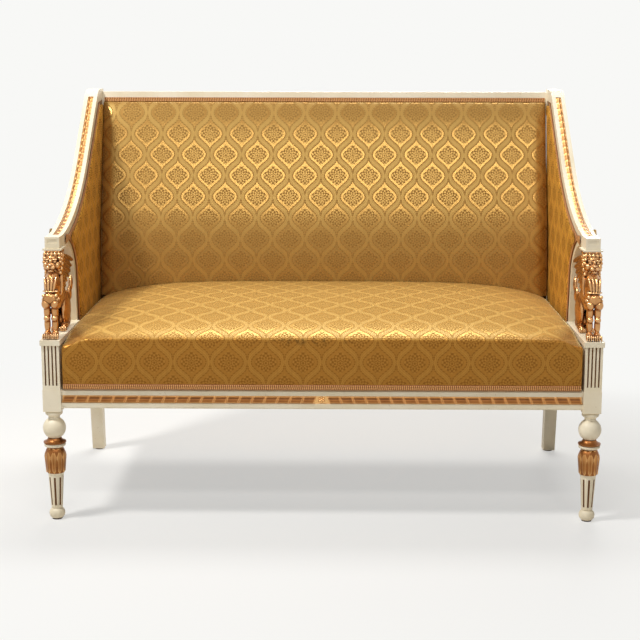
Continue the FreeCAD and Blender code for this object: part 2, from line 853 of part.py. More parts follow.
def bracket_end():
    """Where the flat seat of the bracket ends on the underside of the arm."""
    low_slope = cell("sweep_low_slope")
    reach = cell("sweep_radius") + cell("arm_thick")
    first = cell("sweep_start_slope")
    centre_y = cell("sweep_start") - cell("sweep_radius") * sine(first)
    centre_z = cell("die_top") + cell("sweep_radius") * cosine(first)
    return centre_y + reach * sine(low_slope), centre_z - reach * cosine(low_slope)


def arm_upright(name, side):
    body = piece(f"arm_upright_{name}", side_axis * side)
    front = cell("upright_front")
    back = front + cell("upright_depth")
    leaned = front - cell("upright_lean")
    end_y, end_z = bracket_end()
    outline = [
        Corner(front, rail_top),
        Corner(back, rail_top),
        Corner(back, cell("bracket_bottom"), cell("bracket_back_radius")),
        Corner(end_y, end_z),
        Corner(cell("die_back"), cell("die_bottom")),
        Corner(cell("die_back"), cell("bracket_tip"), cell("bracket_radius"), -1),
        Corner(leaned, cell("bracket_bottom")),
        Corner(front, plate_top),
    ]
    pad(body, draw(body, "YZ_Plane", outline), cell("arm_width"))
    box(body, "Additive", -half_tenon, half_tenon, front + half_tenon, back - half_tenon,
        rail_top - cell("upright_tenon_deep"), rail_top)
    rail = piece(f"arm_lower_rail_{name}", side_axis * side)
    low = cell("arm_lower_rail_bottom")
    high = low + cell("arm_lower_rail_height")
    pad(rail, draw(rail, "YZ_Plane", [
        Corner(back, low),
        Corner(post_front(low), low),
        Corner(post_front(high), high),
        Corner(back, high),
    ]), cell("arm_lower_rail_thick"))
    plinth = piece(f"arm_plinth_{name}", side_axis * side)
    box(plinth, "Additive", -half_arm, half_arm, cell("block_width") - cell("pilaster_inset"), front,
        rail_top, cell("pilaster_top"))


def dowel_points():
    """Plan position and middle height of the two dowels of one lion."""
    return (cell("lion_haunch_y"), plate_top), (cell("lion_head_y"), abacus_bottom)


def arm_support(name, side):
    """Plate, winged lion and abacus, stacked under the arm's die."""
    hole = cell("dowel_radius") + cell("fit_gap")
    deep = cell("dowel_deep")
    (foot_y, _), (head_y, _) = dowel_points()
    plate = piece(f"lion_plate_{name}", side_axis * side)
    half_plate = half_block + cell("plate_overhang")
    box(plate, "Additive", -half_plate, half_plate, -cell("plate_overhang"), cell("upright_front"),
        cell("pilaster_top"), plate_top)
    cylinder(plate, "Subtractive", hole, deep, 0, foot_y, plate_top - deep)
    abacus = piece(f"arm_abacus_{name}", side_axis * side)
    flare = cell("abacus_flare")
    lip = abacus_bottom + cell("abacus_lip")
    spread = half_arm + flare
    box(abacus, "Additive", -half_arm, half_arm, cell("die_front"), cell("die_back"),
        abacus_bottom, cell("die_bottom"))
    box(abacus, "Additive", -spread, spread, cell("die_front") - flare, cell("die_back"), abacus_bottom, lip)
    cylinder(abacus, "Subtractive", hole, deep, 0, head_y, abacus_bottom)
    lion = winged_lion(name, side)
    cylinder(lion, "Subtractive", hole, deep, 0, foot_y, plate_top)
    cylinder(lion, "Subtractive", hole, deep, 0, head_y, abacus_bottom - deep)


def winged_lion(name, side):
    """Carver's blank of the figure: sawn side outline, muzzle, crown block, four paws, forelegs and wings."""
    body = piece(f"winged_lion_{name}", side_axis * side)
    base = plate_top
    top = abacus_bottom
    paw_front = cell("lion_paw_front")
    hind = cell("lion_hind_paw_y")
    crown_low = top - cell("lion_crown_high")
    crown_back = cell("lion_crown_front") + cell("lion_crown_long")
    outline = draw(body, "YZ_Plane", [
        Corner(cell("lion_breast_y") + cell("lion_breast_step"), base + cell("lion_belly_up")),
        Corner(cell("lion_breast_y"), base + cell("lion_breast_up")),
        Corner(cell("lion_throat_y"), base + cell("lion_throat_up")),
        Corner(cell("lion_crown_front"), crown_low),
        Corner(crown_back, crown_low),
        Corner(crown_back, base + cell("lion_nape_up")),
        Corner(cell("lion_rump_y"), base + cell("lion_rump_up")),
        Corner(cell("lion_rump_y"), base),
        Corner(hind + cell("lion_breast_step"), base),
        Corner(hind, base + cell("lion_groin_up")),
    ])
    pad(body, outline, cell("lion_body_wide"))
    half_crown = cell("lion_crown_wide") / 2
    box(body, "Additive", -half_crown, half_crown, cell("lion_crown_front"), crown_back, crown_low, top)
    half_muzzle = cell("lion_muzzle_wide") / 2
    box(body, "Additive", -half_muzzle, half_muzzle, cell("lion_muzzle_front"), cell("lion_head_y"),
        top - cell("lion_muzzle_low"), top - cell("lion_muzzle_high"))
    for hand in (-1, 1):
        leg_x = cell("lion_leg_spread") * hand
        half_paw = cell("lion_paw_width") / 2
        wing = draw(body, "YZ_Plane", [
            Corner(cell("lion_wing_root_y"), base + cell("lion_wing_root_up")),
            Corner(cell("lion_wing_shoulder_y"), base + cell("lion_wing_shoulder_up"),
                   cell("lion_wing_top_round"), -1),
            Corner(cell("lion_wing_tip_y"), base + cell("lion_wing_tip_up"), cell("lion_wing_low_round"), -1),
        ], cell("lion_wing_spread") * hand)
        pad(body, wing, cell("lion_wing_thick"), "One side", hand < 0)
        cylinder(body, "Additive", cell("lion_leg_radius"), cell("lion_leg_height"), leg_x,
                 cell("lion_leg_y"), base)
        box(body, "Additive", leg_x - half_paw, leg_x + half_paw, paw_front, paw_front + cell("lion_paw_long"),
            base, base + cell("lion_paw_high"))
        half_hind = cell("lion_hind_paw_wide") / 2
        box(body, "Additive", leg_x - half_hind, leg_x + half_hind, hind, hind + cell("lion_hind_paw_long"),
            base, base + cell("lion_hind_paw_high"))
    return body


def lion_dowels():
    rods = []
    deep = cell("dowel_deep").value
    for _, side in SIDES:
        for y, middle in dowel_points():
            start = FreeCAD.Vector(side_axis.value * side, y.value, middle.value - deep)
            rods.append(Part.makeCylinder(cell("dowel_radius").value, 2 * deep, start, UP))
    group("lion_dowels", rods)


def foot_glides():
    thick = cell("glide_thick").value
    discs = []
    rear_y = cell("post_foot_y") + cell("post_foot_depth") / 2
    for _, side in SIDES:
        for y in (half_block, rear_y):
            start = FreeCAD.Vector(side_axis.value * side, y.value, 0)
            discs.append(Part.makeCylinder(cell("glide_radius").value, thick, start, UP))
    group("foot_glides", discs)


def arm_edge(inset, bottom):
    """The edge of an upholstered arm panel, moved inwards by a distance, from the front tip along the arm."""
    drop = cell("arm_edge_drop") + inset
    _, bend, tip_start, _ = arm_top(drop)
    top = cell("arm_edge_top") - inset
    set_in = cell("arm_edge_set") + inset
    front = cell("upright_front") + set_in
    return [
        Corner(cell("arm_edge_front") + inset * cell("arm_tip_run"),
               cell("arm_edge_tip_z") - inset * cell("arm_tip_fall"), cell("sweep_radius") + drop),
        Corner(*bend),
        Corner(*tip_start),
        Corner(post_front(top), top),
        Corner(post_front(bottom), bottom),
        Corner(front, bottom),
        Corner(front, plate_top),
        Corner(front - cell("upright_lean"), cell("bracket_bottom"), cell("bracket_radius") + set_in, 1),
    ]


def braid_outline(outer, inner):
    """A strip along the arm and the upright: out along one panel edge, back along the inset one."""
    tip, bend, end, _, _, foot, knee, turn = outer
    inner_tip, inner_bend, inner_end, _, _, inner_foot, inner_knee, inner_turn = inner
    return [
        foot,
        knee,
        turn,
        tip,
        bend,
        Corner(end.u, end.v),
        inner_end,
        Corner(inner_bend.u, inner_bend.v, inner_tip.radius, -1),
        Corner(inner_tip.u, inner_tip.v, inner_turn.radius, -1),
        Corner(inner_turn.u, inner_turn.v),
        inner_knee,
        inner_foot,
    ]


def arm_upholstery(name, side):
    """Hessian, padded panel and braid on the inside of the arm, plain cover on the outside."""
    inward = side > 0
    skin = side_axis - half_arm
    lining = skin - cell("hessian_thick")
    low = cell("arm_pad_bottom")
    outer = arm_edge(as_size(0), low)
    inner = arm_edge(cell("gimp_width"), low)
    outside = arm_edge(as_size(0), rail_top)
    for label, x, outline, thick, reverse in (
        ("arm_hessian", skin, outer, cell("hessian_thick"), inward),
        ("arm_pad", lining, inner, cell("arm_pad_thick"), inward),
        ("arm_gimp", lining, braid_outline(outer, inner), cell("arm_pad_thick"), inward),
        ("outside_arm_cover", side_axis + half_arm, outside, cell("cover_thick"), not inward),
    ):
        body = piece(f"{label}_{name}", x * side)
        pad(body, draw(body, "YZ_Plane", outline), thick, "One side", reverse)


def back_upholstery():
    strap = cell("strap_thick")
    half_pad = side_axis - cell("back_pad_half_gap")
    low = cell("lower_back_bottom") + cell("gimp_width")
    high = height - cell("crest_drop") - cell("crest_height") / 2
    straps = []
    profile = [FreeCAD.Vector(0, corner.u.value, corner.v.value) for corner in raked(low, high, -strap, 0)]
    count = int(cell("back_straps").value)
    wide = cell("back_strap_width").value
    spacing = (half_pad.value * 2 - wide) / count
    for index in range(count):
        left = (index - (count - 1) / 2) * spacing - wide / 2
        face = Part.Face(Part.makePolygon(profile + profile[:1]))
        face.translate(FreeCAD.Vector(left, 0, 0))
        straps.append(face.extrude(FreeCAD.Vector(wide, 0, 0)))
    group("back_webbing", straps)
    lining = strap + cell("hessian_thick")
    hessian = piece("back_hessian")
    pad(hessian, draw(hessian, "YZ_Plane", raked(cell("back_pad_bottom"), high, -lining, -strap)), half_pad * 2)
    padding = piece("back_pad")
    bottom = cell("back_pad_bottom")
    shoulder = height - cell("back_pad_shoulder_drop")
    top = height - cell("back_pad_top_drop")
    seat_back = seat_depth - cell("seat_back_gap")
    corners = [
        Corner(post_front(bottom) - lining, bottom),
        Corner(post_front(top) - lining, top),
    ]
    for z, thick in (
        (top, cell("back_pad_top_thick")),
        (shoulder, cell("back_pad_shoulder_thick")),
        ((bottom + shoulder) / 2, cell("back_pad_middle_thick")),
        (bottom, post_front(bottom) - seat_back - cell("back_pad_seat_gap")),
    ):
        corners.append(Corner(post_front(z) - thick, z))
    pad(padding, draw(padding, "YZ_Plane", corners), half_pad * 2)
    braid = piece("back_gimp")
    pad(braid, draw(braid, "YZ_Plane", raked(top, top + cell("gimp_width"), -cell("back_gimp_thick"), 0)),
        half_pad * 2)


def loose_seat():
    """Frame, webbing, springs, hessian, padded cover, dust cover and braid of the lift-out seat."""
    half = inner_face - cell("seat_half_gap")
    skin = cell("seat_cover_thick")
    front = cell("seat_front")
    back = seat_depth - cell("seat_back_gap")
    frame_half = half - skin
    frame_front = front + skin
    frame_back = back - skin
    wide = cell("seat_frame_width")
    low = rail_top
    high = low + cell("seat_frame_thick")
    rib_front = frame_front + wide
    rib_back = frame_back - wide
    tenon = cell("seat_frame_tenon")
    third = cell("seat_frame_thick") / 3
    half_brace = cell("brace_width") / 2
    ribs = [
        ("left", -frame_half, wide - frame_half),
        ("right", frame_half - wide, frame_half),
        ("brace", -half_brace, half_brace),
    ]
    for label, y0, y1, mortise0, mortise1 in (
        ("front", frame_front, rib_front, rib_front - tenon, rib_front),
        ("rear", rib_back, frame_back, rib_back, rib_back + tenon),
    ):
        rail = piece(f"seat_frame_{label}")
        box(rail, "Additive", -frame_half, frame_half, y0, y1, low, high)
        for _, x0, x1 in ribs:
            box(rail, "Subtractive", x0 + third, x1 - third, mortise0, mortise1, low + third, high - third)
    for label, x0, x1 in ribs:
        rib = piece(f"seat_frame_{label}")
        box(rib, "Additive", x0, x1, rib_front, rib_back, low, high)
        box(rib, "Additive", x0 + third, x1 - third, rib_front - tenon, rib_back + tenon,
            low + third, high - third)
    seat_inside(half, rib_front, rib_back, frame_half - wide, low)
    cushion = piece("seat_pad")
    bottom = low + cell("seat_bottom_gap")
    pad(cushion, draw(cushion, "YZ_Plane", [
        Corner(front, bottom),
        Corner(back, bottom),
        Corner(back, cell("seat_back_height"), cell("seat_crown_radius")),
        Corner(front, cell("seat_edge_height")),
    ]), half * 2)
    box(cushion, "Subtractive", -frame_half, frame_half, frame_front, frame_back, bottom, high)
    box(cushion, "Subtractive", skin + wide - half, half - wide - skin, rib_front, rib_back,
        high, cell("seat_lining_height"))
    braid = piece("seat_gimp")
    box(braid, "Additive", -half, half, front - cell("seat_gimp_thick"), front,
        bottom, bottom + cell("gimp_width"))


def seat_inside(half, rib_front, rib_back, clear_half, frame_low):
    margin = cell("seat_strap_margin")
    strap = cell("strap_thick")
    start = rib_front - margin
    end = rib_back + margin
    columns = int(cell("seat_strap_columns").value)
    rows = int(cell("seat_strap_rows").value)
    pitch_x = clear_half.value * 2 / columns
    pitch_y = (rib_back.value - rib_front.value) / rows
    half_strap = cell("seat_strap_width").value / 2
    column_centres = [(index - (columns - 1) / 2) * pitch_x for index in range(columns)]
    row_centres = [rib_front.value + (index + 0.5) * pitch_y for index in range(rows)]
    straps = [solid_box(x - half_strap, x + half_strap, start, end, frame_low - strap, frame_low)
              for x in column_centres]
    reach = clear_half + margin
    under = frame_low - strap
    straps += [solid_box(-reach, reach, y - half_strap, y + half_strap, under - strap, under)
               for y in row_centres]
    group("seat_webbing", straps)
    lining_low = cell("seat_lining_height") - strap
    spring = coil_spring(lining_low.value - frame_low.value)
    foot = frame_low.value
    springs = [spring.translated(FreeCAD.Vector(x, y, foot)) for x in column_centres for y in row_centres]
    group("seat_springs", springs)
    lining = piece("seat_hessian")
    inset = cell("seat_cover_thick") * 2
    box(lining, "Additive", inset - clear_half, clear_half - inset, rib_front + inset, rib_back - inset,
        lining_low, cell("seat_lining_height"))
    dust = piece("seat_dust_cover")
    dust_top = frame_low - strap * 2
    box(dust, "Additive", -reach, reach, start, end, dust_top - cell("hessian_thick"), dust_top)


def coil_spring(length):
    """One upright coil spring of six-sided wire that starts over the middle of its strap."""
    radius = cell("spring_radius").value
    wire = cell("spring_wire").value / 2
    turns = round(cell("spring_turns").value)
    flat = wire * math.sin(math.pi / 3)
    steps = 12
    rings = []
    for step in range(steps * turns + 1):
        angle = 2 * math.pi * step / steps
        outward = FreeCAD.Vector(-math.sin(angle), math.cos(angle), 0)
        middle = outward * radius + UP * (flat + (length - 2 * flat) * step / (steps * turns))
        corners = []
        for side in range(7):
            turn = math.pi * side / 3
            corners.append(middle + (outward * math.cos(turn) + UP * math.sin(turn)) * wire)
        rings.append(Part.makePolygon(corners))
    return Part.makeLoft(rings, True, True)


base_frame()
seat_bearers()
back_frame()
for side_name, hand_sign in SIDES:
    arm_rail(side_name, hand_sign)
    arm_upright(side_name, hand_sign)
    arm_support(side_name, hand_sign)
    arm_upholstery(side_name, hand_sign)
lion_dowels()
foot_glides()
back_upholstery()
loose_seat()
doc.recompute()

for item in doc.Objects:
    if "Invalid" in item.State or "Error" in item.State:
        raise RuntimeError(f"{item.Name} did not build: {item.State}")
os.makedirs("parts", exist_ok=True)
for item in pieces:
    if item.Shape.isNull() or not item.Shape.isValid():
        raise RuntimeError(f"{item.Label} has no valid shape")
    item.Shape.exportStep(f"parts/{item.Label}.step")
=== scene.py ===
import math

import bpy
from mathutils import Euler, Matrix, Vector


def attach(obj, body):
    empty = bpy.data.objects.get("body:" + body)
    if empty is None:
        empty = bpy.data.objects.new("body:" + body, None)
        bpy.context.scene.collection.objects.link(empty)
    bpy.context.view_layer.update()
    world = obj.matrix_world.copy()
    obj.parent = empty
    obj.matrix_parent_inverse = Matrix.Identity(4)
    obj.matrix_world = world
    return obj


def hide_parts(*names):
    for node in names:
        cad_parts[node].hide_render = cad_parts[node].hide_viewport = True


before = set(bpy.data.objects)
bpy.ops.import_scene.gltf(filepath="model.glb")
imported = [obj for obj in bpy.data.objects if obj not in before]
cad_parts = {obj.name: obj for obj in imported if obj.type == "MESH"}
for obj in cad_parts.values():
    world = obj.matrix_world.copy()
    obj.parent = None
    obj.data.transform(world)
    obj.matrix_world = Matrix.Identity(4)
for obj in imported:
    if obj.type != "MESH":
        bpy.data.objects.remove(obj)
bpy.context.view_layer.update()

# The frame is in metres. The lengths below are in millimetres, with y from the front of the leg blocks,
# unless a comment says metres.
FRONT = -0.3655  # the front of the leg blocks, in metres
AXIS = 609.5  # from the middle of the sofa to the middle of a front leg, its lion and its arm
LEG_Y = 20.5  # the axis of a front leg
TO_LEFT = Matrix.Translation((-2 * AXIS / 1000, 0, 0))  # takes a right-hand piece to the left
POST_FOOT_Y = 552.0  # front of the rear posts, up to their bend
POST_BEND_Z = 330.0
RAKE = 0.23934  # how far the posts lean back for each millimetre above the bend
PLATE_TOP = 422.0  # top of the plates that carry the lions
RAIL_Z = 286.0  # middle of the carved moulding on the front rail
BRAID_WIDE = 11.0


def spot(x, y, z):
    """A point of the frame from millimetres, with y from the front of the leg blocks."""
    return Vector((x / 1000, y / 1000 + FRONT, z / 1000))


def back_plane(z):
    """How far back the front faces of the raked posts are at a height."""
    return POST_FOOT_Y + (z - POST_BEND_Z) * RAKE


def smooth_step(value, low, high):
    """0 below low and 1 above high, with a smooth rise between."""
    share = min(max((value - low) / (high - low), 0.0), 1.0)
    return share * share * (3 - 2 * share)


def select_only(*pieces):
    bpy.ops.object.select_all(action="DESELECT")
    for piece in pieces:
        piece.select_set(True)
    bpy.context.view_layer.objects.active = pieces[0]


def shape_with(piece, kind, **settings):
    """Adds a modifier, sets it and applies it."""
    select_only(piece)
    modifier = piece.modifiers.new(kind, kind)
    for name, value in settings.items():
        setattr(modifier, name, value)
    bpy.ops.object.modifier_apply(modifier=modifier.name)


def joined(name, pieces):
    """Joins pieces into one object at the origin, with its place in its mesh."""
    select_only(*pieces)
    bpy.ops.object.join()
    bpy.ops.object.transform_apply(location=True, rotation=True, scale=True)
    piece = bpy.context.object
    piece.name = name
    piece.data.name = name
    return piece


def point_outwards(piece):
    select_only(piece)
    bpy.ops.object.mode_set(mode="EDIT")
    bpy.ops.mesh.select_all(action="SELECT")
    bpy.ops.mesh.normals_make_consistent(inside=False)
    bpy.ops.object.mode_set(mode="OBJECT")


def soften(piece, angle):
    """Shades a piece smooth, apart from edges that are sharper than an angle in degrees."""
    select_only(piece)
    bpy.ops.object.shade_smooth_by_angle(angle=math.radians(angle))


def thickened(piece, thickness, offset, angle):
    """Gives a sheet its thickness in millimetres, turns its faces out and softens it."""
    shape_with(piece, "SOLIDIFY", thickness=thickness / 1000, offset=offset)
    point_outwards(piece)
    soften(piece, angle)


def ball(place, halves, level, turn=(0, 0, 0)):
    """A rounded lump with its three half-lengths in millimetres."""
    bpy.ops.object.select_all(action="DESELECT")
    bpy.ops.mesh.primitive_ico_sphere_add(
        subdivisions=level, radius=0.001, location=place, rotation=turn, scale=halves)
    return bpy.context.object


def block(place, lengths):
    """A block with its three lengths in millimetres."""
    bpy.ops.object.select_all(action="DESELECT")
    bpy.ops.mesh.primitive_cube_add(size=0.001, location=place, scale=lengths)
    return bpy.context.object


def copy_of(piece, name, matrix):
    """A copy with its own mesh, moved in its mesh."""
    copy = piece.copy()
    copy.data = piece.data.copy()
    copy.name = name
    copy.data.name = name
    copy.data.transform(matrix)
    bpy.context.collection.objects.link(copy)
    return copy


def shaped_grid(name, columns, rows, place):
    """A grid whose points are then moved: place takes the shares along and across and gives a point."""
    bpy.ops.object.select_all(action="DESELECT")
    bpy.ops.mesh.primitive_grid_add(x_subdivisions=columns, y_subdivisions=rows, size=1)
    piece = bpy.context.object
    piece.name = name
    for vertex in piece.data.vertices:
        vertex.co = place(vertex.co.x + 0.5, vertex.co.y + 0.5)
    return piece


def closed_pad(name, columns, rows, place):
    """A shaped grid whose open border is filled, so it is one closed form."""
    pad = shaped_grid(name, columns, rows, place)
    bpy.ops.object.mode_set(mode="EDIT")
    bpy.ops.mesh.select_mode(type="EDGE")
    bpy.ops.mesh.select_all(action="DESELECT")
    bpy.ops.mesh.select_non_manifold()
    bpy.ops.mesh.edge_face_add()
    bpy.ops.object.mode_set(mode="OBJECT")
    point_outwards(pad)
    soften(pad, 75)
    return pad


def lay_pattern(piece, flat):
    """Writes where each point lies on the flat cloth, in metres, to the piece's UV map."""
    layer = piece.data.uv_layers[0]
    layer.name = "cloth"
    for loop in piece.data.loops:
        layer.data[loop.index].uv = flat(piece.data.vertices[loop.vertex_index].co)


def bow(first, middle, last, count):
    """Points on the round arc through three points."""
    ax, ay = first
    bx, by = middle
    cx, cy = last
    d = 2 * (ax * (by - cy) + bx * (cy - ay) + cx * (ay - by))
    a2, b2, c2 = ax * ax + ay * ay, bx * bx + by * by, cx * cx + cy * cy
    ox = (a2 * (by - cy) + b2 * (cy - ay) + c2 * (ay - by)) / d
    oy = (a2 * (cx - bx) + b2 * (ax - cx) + c2 * (bx - ax)) / d
    radius = math.hypot(ax - ox, ay - oy)
    start = math.atan2(ay - oy, ax - ox)
    sweep = math.atan2(cy - oy, cx - ox) - start
    sweep = (sweep + math.pi) % (2 * math.pi) - math.pi
    turns = [start + sweep * step / count for step in range(count + 1)]
    return [(ox + radius * math.cos(turn), oy + radius * math.sin(turn)) for turn in turns]


def walk(points, distance):
    """The point and direction at a distance along a line of points."""
    for (ay, az), (by, bz) in zip(points, points[1:]):
        run = math.hypot(by - ay, bz - az)
        if distance <= run or (by, bz) == points[-1]:
            share = distance / run
            return (ay + (by - ay) * share, az + (bz - az) * share), ((by - ay) / run, (bz - az) / run)
        distance -= run


def length_of(points):
    return sum(math.hypot(by - ay, bz - az) for (ay, az), (by, bz) in zip(points, points[1:]))


# Materials. Every colour is sRGB hex.
TREE = None


def colour(code):
    """The linear colour of an sRGB hex value."""
    shares = [int(code[place:place + 2], 16) / 255 for place in (1, 3, 5)]
    return tuple(s / 12.92 if s <= 0.04045 else ((s + 0.055) / 1.055) ** 2.4 for s in shares) + (1.0,)


def node(kind, sockets=(), **settings):
    """Adds one node to the material in hand. Values or links for its sockets come in order, or by name."""
    made = TREE.nodes.new("ShaderNode" + kind)
    for name, value in settings.items():
        setattr(made, name, value)
    for key, value in sockets.items() if isinstance(sockets, dict) else enumerate(sockets):
        if isinstance(value, bpy.types.NodeSocket):
            TREE.links.new(value, made.inputs[key])
        else:
            made.inputs[key].default_value = value
    return made.outputs


def new_material(name):
    """An empty material; the nodes that follow go into it."""
    global TREE
    made = bpy.data.materials.new(name)
    made.use_nodes = True
    TREE = made.node_tree
    TREE.nodes.clear()
    return made


def wave_along(value, pitch, shape):
    """A wave that repeats every pitch, as a SINE or COSINE."""
    turn = node("Math", (value, 2 * math.pi / pitch), operation="MULTIPLY")[0]
    return node("Math", (turn,), operation=shape)[0]


def two_tone(made, figure, dark, light, relief, depth, rough):
    """Ends a plain material, in which one figure makes both the tones and the relief."""
    tone = node("MixRGB", (figure, colour(dark), colour(light)))[0]
    bump = node("Bump", {"Height": figure, "Strength": relief, "Distance": depth})[0]
    skin = node("BsdfPrincipled", {"Base Color": tone, "Roughness": rough, "Normal": bump})[0]
    node("OutputMaterial", (skin,))
    return made


def painted_wood(name, gilded_leg):
    """Old cream distemper over gesso: matt, a little yellowed in patches, with fine grime and rubbed spots.
    On the legs the flutes, the lotus cup and the collar are gilded, and the gilt in the flutes is darkened as
    painted shade."""
    made = new_material(name)
    place = node("TexCoord")["Object"]
    patches = node("TexNoise", {"Vector": place, "Scale": 9.0, "Detail": 4.0, "Roughness": 0.6})["Fac"]
    yellowing = node("MapRange", {"Value": patches, "From Min": 0.35, "From Max": 0.7})[0]
    cream = node("MixRGB", (yellowing, colour("#EEE3CA"), colour("#E3D4B3")))[0]
    specks = node("TexNoise", {"Vector": place, "Scale": 160.0, "Detail": 3.0, "Roughness": 0.7})["Fac"]
    rubbed_and_highlit = node("MapRange", {"Value": specks, "From Min": 0.66, "From Max": 0.72, "To Max": 0.55})[0]
    worn = node("MixRGB", (rubbed_and_highlit, cream, colour("#B79C74")))[0]
    brush = node("Mapping", {"Vector": place, "Scale": (40.0, 40.0, 500.0)})[0]
    strokes = node("TexNoise", {"Vector": brush, "Scale": 2.0, "Detail": 2.0})["Fac"]
    bump = node("Bump", {"Height": strokes, "Strength": 0.08, "Distance": 0.0004})[0]
    if not gilded_leg:
        skin = node("BsdfPrincipled", {"Base Color": worn, "Roughness": 0.48, "Normal": bump})[0]
        node("OutputMaterial", (skin,))
        return made
    parts = node("SeparateXYZ", (place,))
    side = node("Math", (parts["X"],), operation="ABSOLUTE")[0]
    out = node("Math", (side, AXIS / 1000), operation="SUBTRACT")[0]
    deep = node("Math", (parts["Y"], FRONT + LEG_Y / 1000), operation="SUBTRACT")[0]
    flat = node("CombineXYZ", (out, deep))[0]
    radius = node("VectorMath", (flat,), operation="LENGTH")["Value"]
    height = parts["Z"]
    # Heights of the fluted shaft, the lotus cup, the collar and the fluted block. Compare takes a middle and
    # how far to each side of it, in metres.
    on_shaft, cup, collar, on_block = [
        node("Math", (height, middle, reach), operation="COMPARE")[0]
        for middle, reach in ((0.0675, 0.0385), (0.1415, 0.0305), (0.1875, 0.0063), (0.364, 0.0465))]
    # Flutes of the shaft, sunk below the turned surface, which widens from 12.8 to 17.5 mm.
    turned = node("MapRange", {"Value": height, "From Min": 0.028, "From Max": 0.107, "To Min": 0.0128,
                               "To Max": 0.0175})[0]
    sunk = node("Math", (turned, radius), operation="SUBTRACT")[0]
    fluted = node("MapRange", {"Value": sunk, "From Min": 0.0003, "From Max": 0.0006})[0]
    shaft = node("Math", (fluted, on_shaft), operation="MULTIPLY")[0]
    # Flutes of the block, up to 3.8 mm behind its front face and its outer side face.
    face, sunk_middle, sunk_reach, fluted_half = 0.01975, 0.0021, 0.0017, 0.0172
    from_front = node("Math", (deep, face), operation="ADD")[0]
    from_side = node("Math", (face, out), operation="SUBTRACT")[0]
    faces = []
    for behind, along in ((from_front, out), (from_side, deep)):
        in_flute = node("Math", (behind, sunk_middle, sunk_reach), operation="COMPARE")[0]
        on_face = node("Math", (along, 0.0, fluted_half), operation="COMPARE")[0]
        faces.append(node("Math", (in_flute, on_face), operation="MULTIPLY")[0])
    either = node("Math", faces, operation="MAXIMUM")[0]
    block_flutes = node("Math", (either, on_block), operation="MULTIPLY")[0]
    bands = node("Math", (cup, collar), operation="MAXIMUM")[0]
    flutes = node("Math", (shaft, block_flutes), operation="MAXIMUM")[0]
    gilt = node("Math", (bands, flutes), operation="MAXIMUM")[0]
    tarnish = node("TexNoise", {"Vector": place, "Scale": 70.0, "Detail": 5.0})["Fac"]
    leaf = node("MixRGB", (tarnish, colour("#6A3810"), colour("#AE7036")))[0]
    # Painted shade: the gilt in the sunk flutes is darkened towards near-black brown.
    grime_and_shade = node("Math", (flutes, 0.62), operation="MULTIPLY")[0]
    flute_shaded_leaf = node("MixRGB", (grime_and_shade, leaf, colour("#3A2A17")))[0]
    both = node("MixRGB", (gilt, worn, flute_shaded_leaf))[0]
    shine = node("MapRange", {"Value": gilt, "To Min": 0.48, "To Max": 0.36})[0]
    metal = node("Math", (gilt, 0.7), operation="MULTIPLY")[0]
    skin = node("BsdfPrincipled", {
        "Base Color": both, "Roughness": shine, "Metallic": metal, "Normal": bump})[0]
    node("OutputMaterial", (skin,))
    return made


def gilded_carving(name, old_leaf, fresh_leaf, highlight_leaf, hollow_from, burnish):
    """Gold leaf over red bole: coppery, with painted highlights in a paler gold on the ridges and painted
    shade in near-black brown in the hollows.
    """
    made = new_material(name)
    place = node("TexCoord")["Object"]
    hollow = node("NewGeometry")["Pointiness"]
    open_part = node("MapRange", {"Value": hollow, "From Min": hollow_from, "From Max": 0.505})[0]
    ridge = node("MapRange", {"Value": hollow, "From Min": 0.50, "From Max": 0.60})[0]
    blotch = node("TexNoise", {"Vector": place, "Scale": 55.0, "Detail": 5.0, "Roughness": 0.6})["Fac"]
    gold = node("MixRGB", (blotch, colour(old_leaf), colour(fresh_leaf)))[0]
    # Painted highlight: the ridges, found by pointiness, turn a paler gold.
    rubbed_and_highlit = node("MixRGB", (ridge, gold, colour(highlight_leaf)))[0]
    # Painted shade: the hollows, found by pointiness, turn near-black brown.
    leaf = node("MixRGB", (open_part, colour("#2A1005"), rubbed_and_highlit))[0]
    dull = node("MapRange", {"Value": open_part, "To Min": 0.75, "To Max": burnish})[0]
    rub = node("TexNoise", {"Vector": place, "Scale": 420.0, "Detail": 2.0})["Fac"]
    bump = node("Bump", {"Height": rub, "Strength": 0.12, "Distance": 0.0004})[0]
    metal = node("MapRange", {"Value": open_part, "To Min": 0.2, "To Max": 0.9})[0]
    skin = node("BsdfPrincipled", {
        "Base Color": leaf, "Metallic": metal, "Roughness": dull, "Normal": bump})[0]
    node("OutputMaterial", (skin,))
    return made


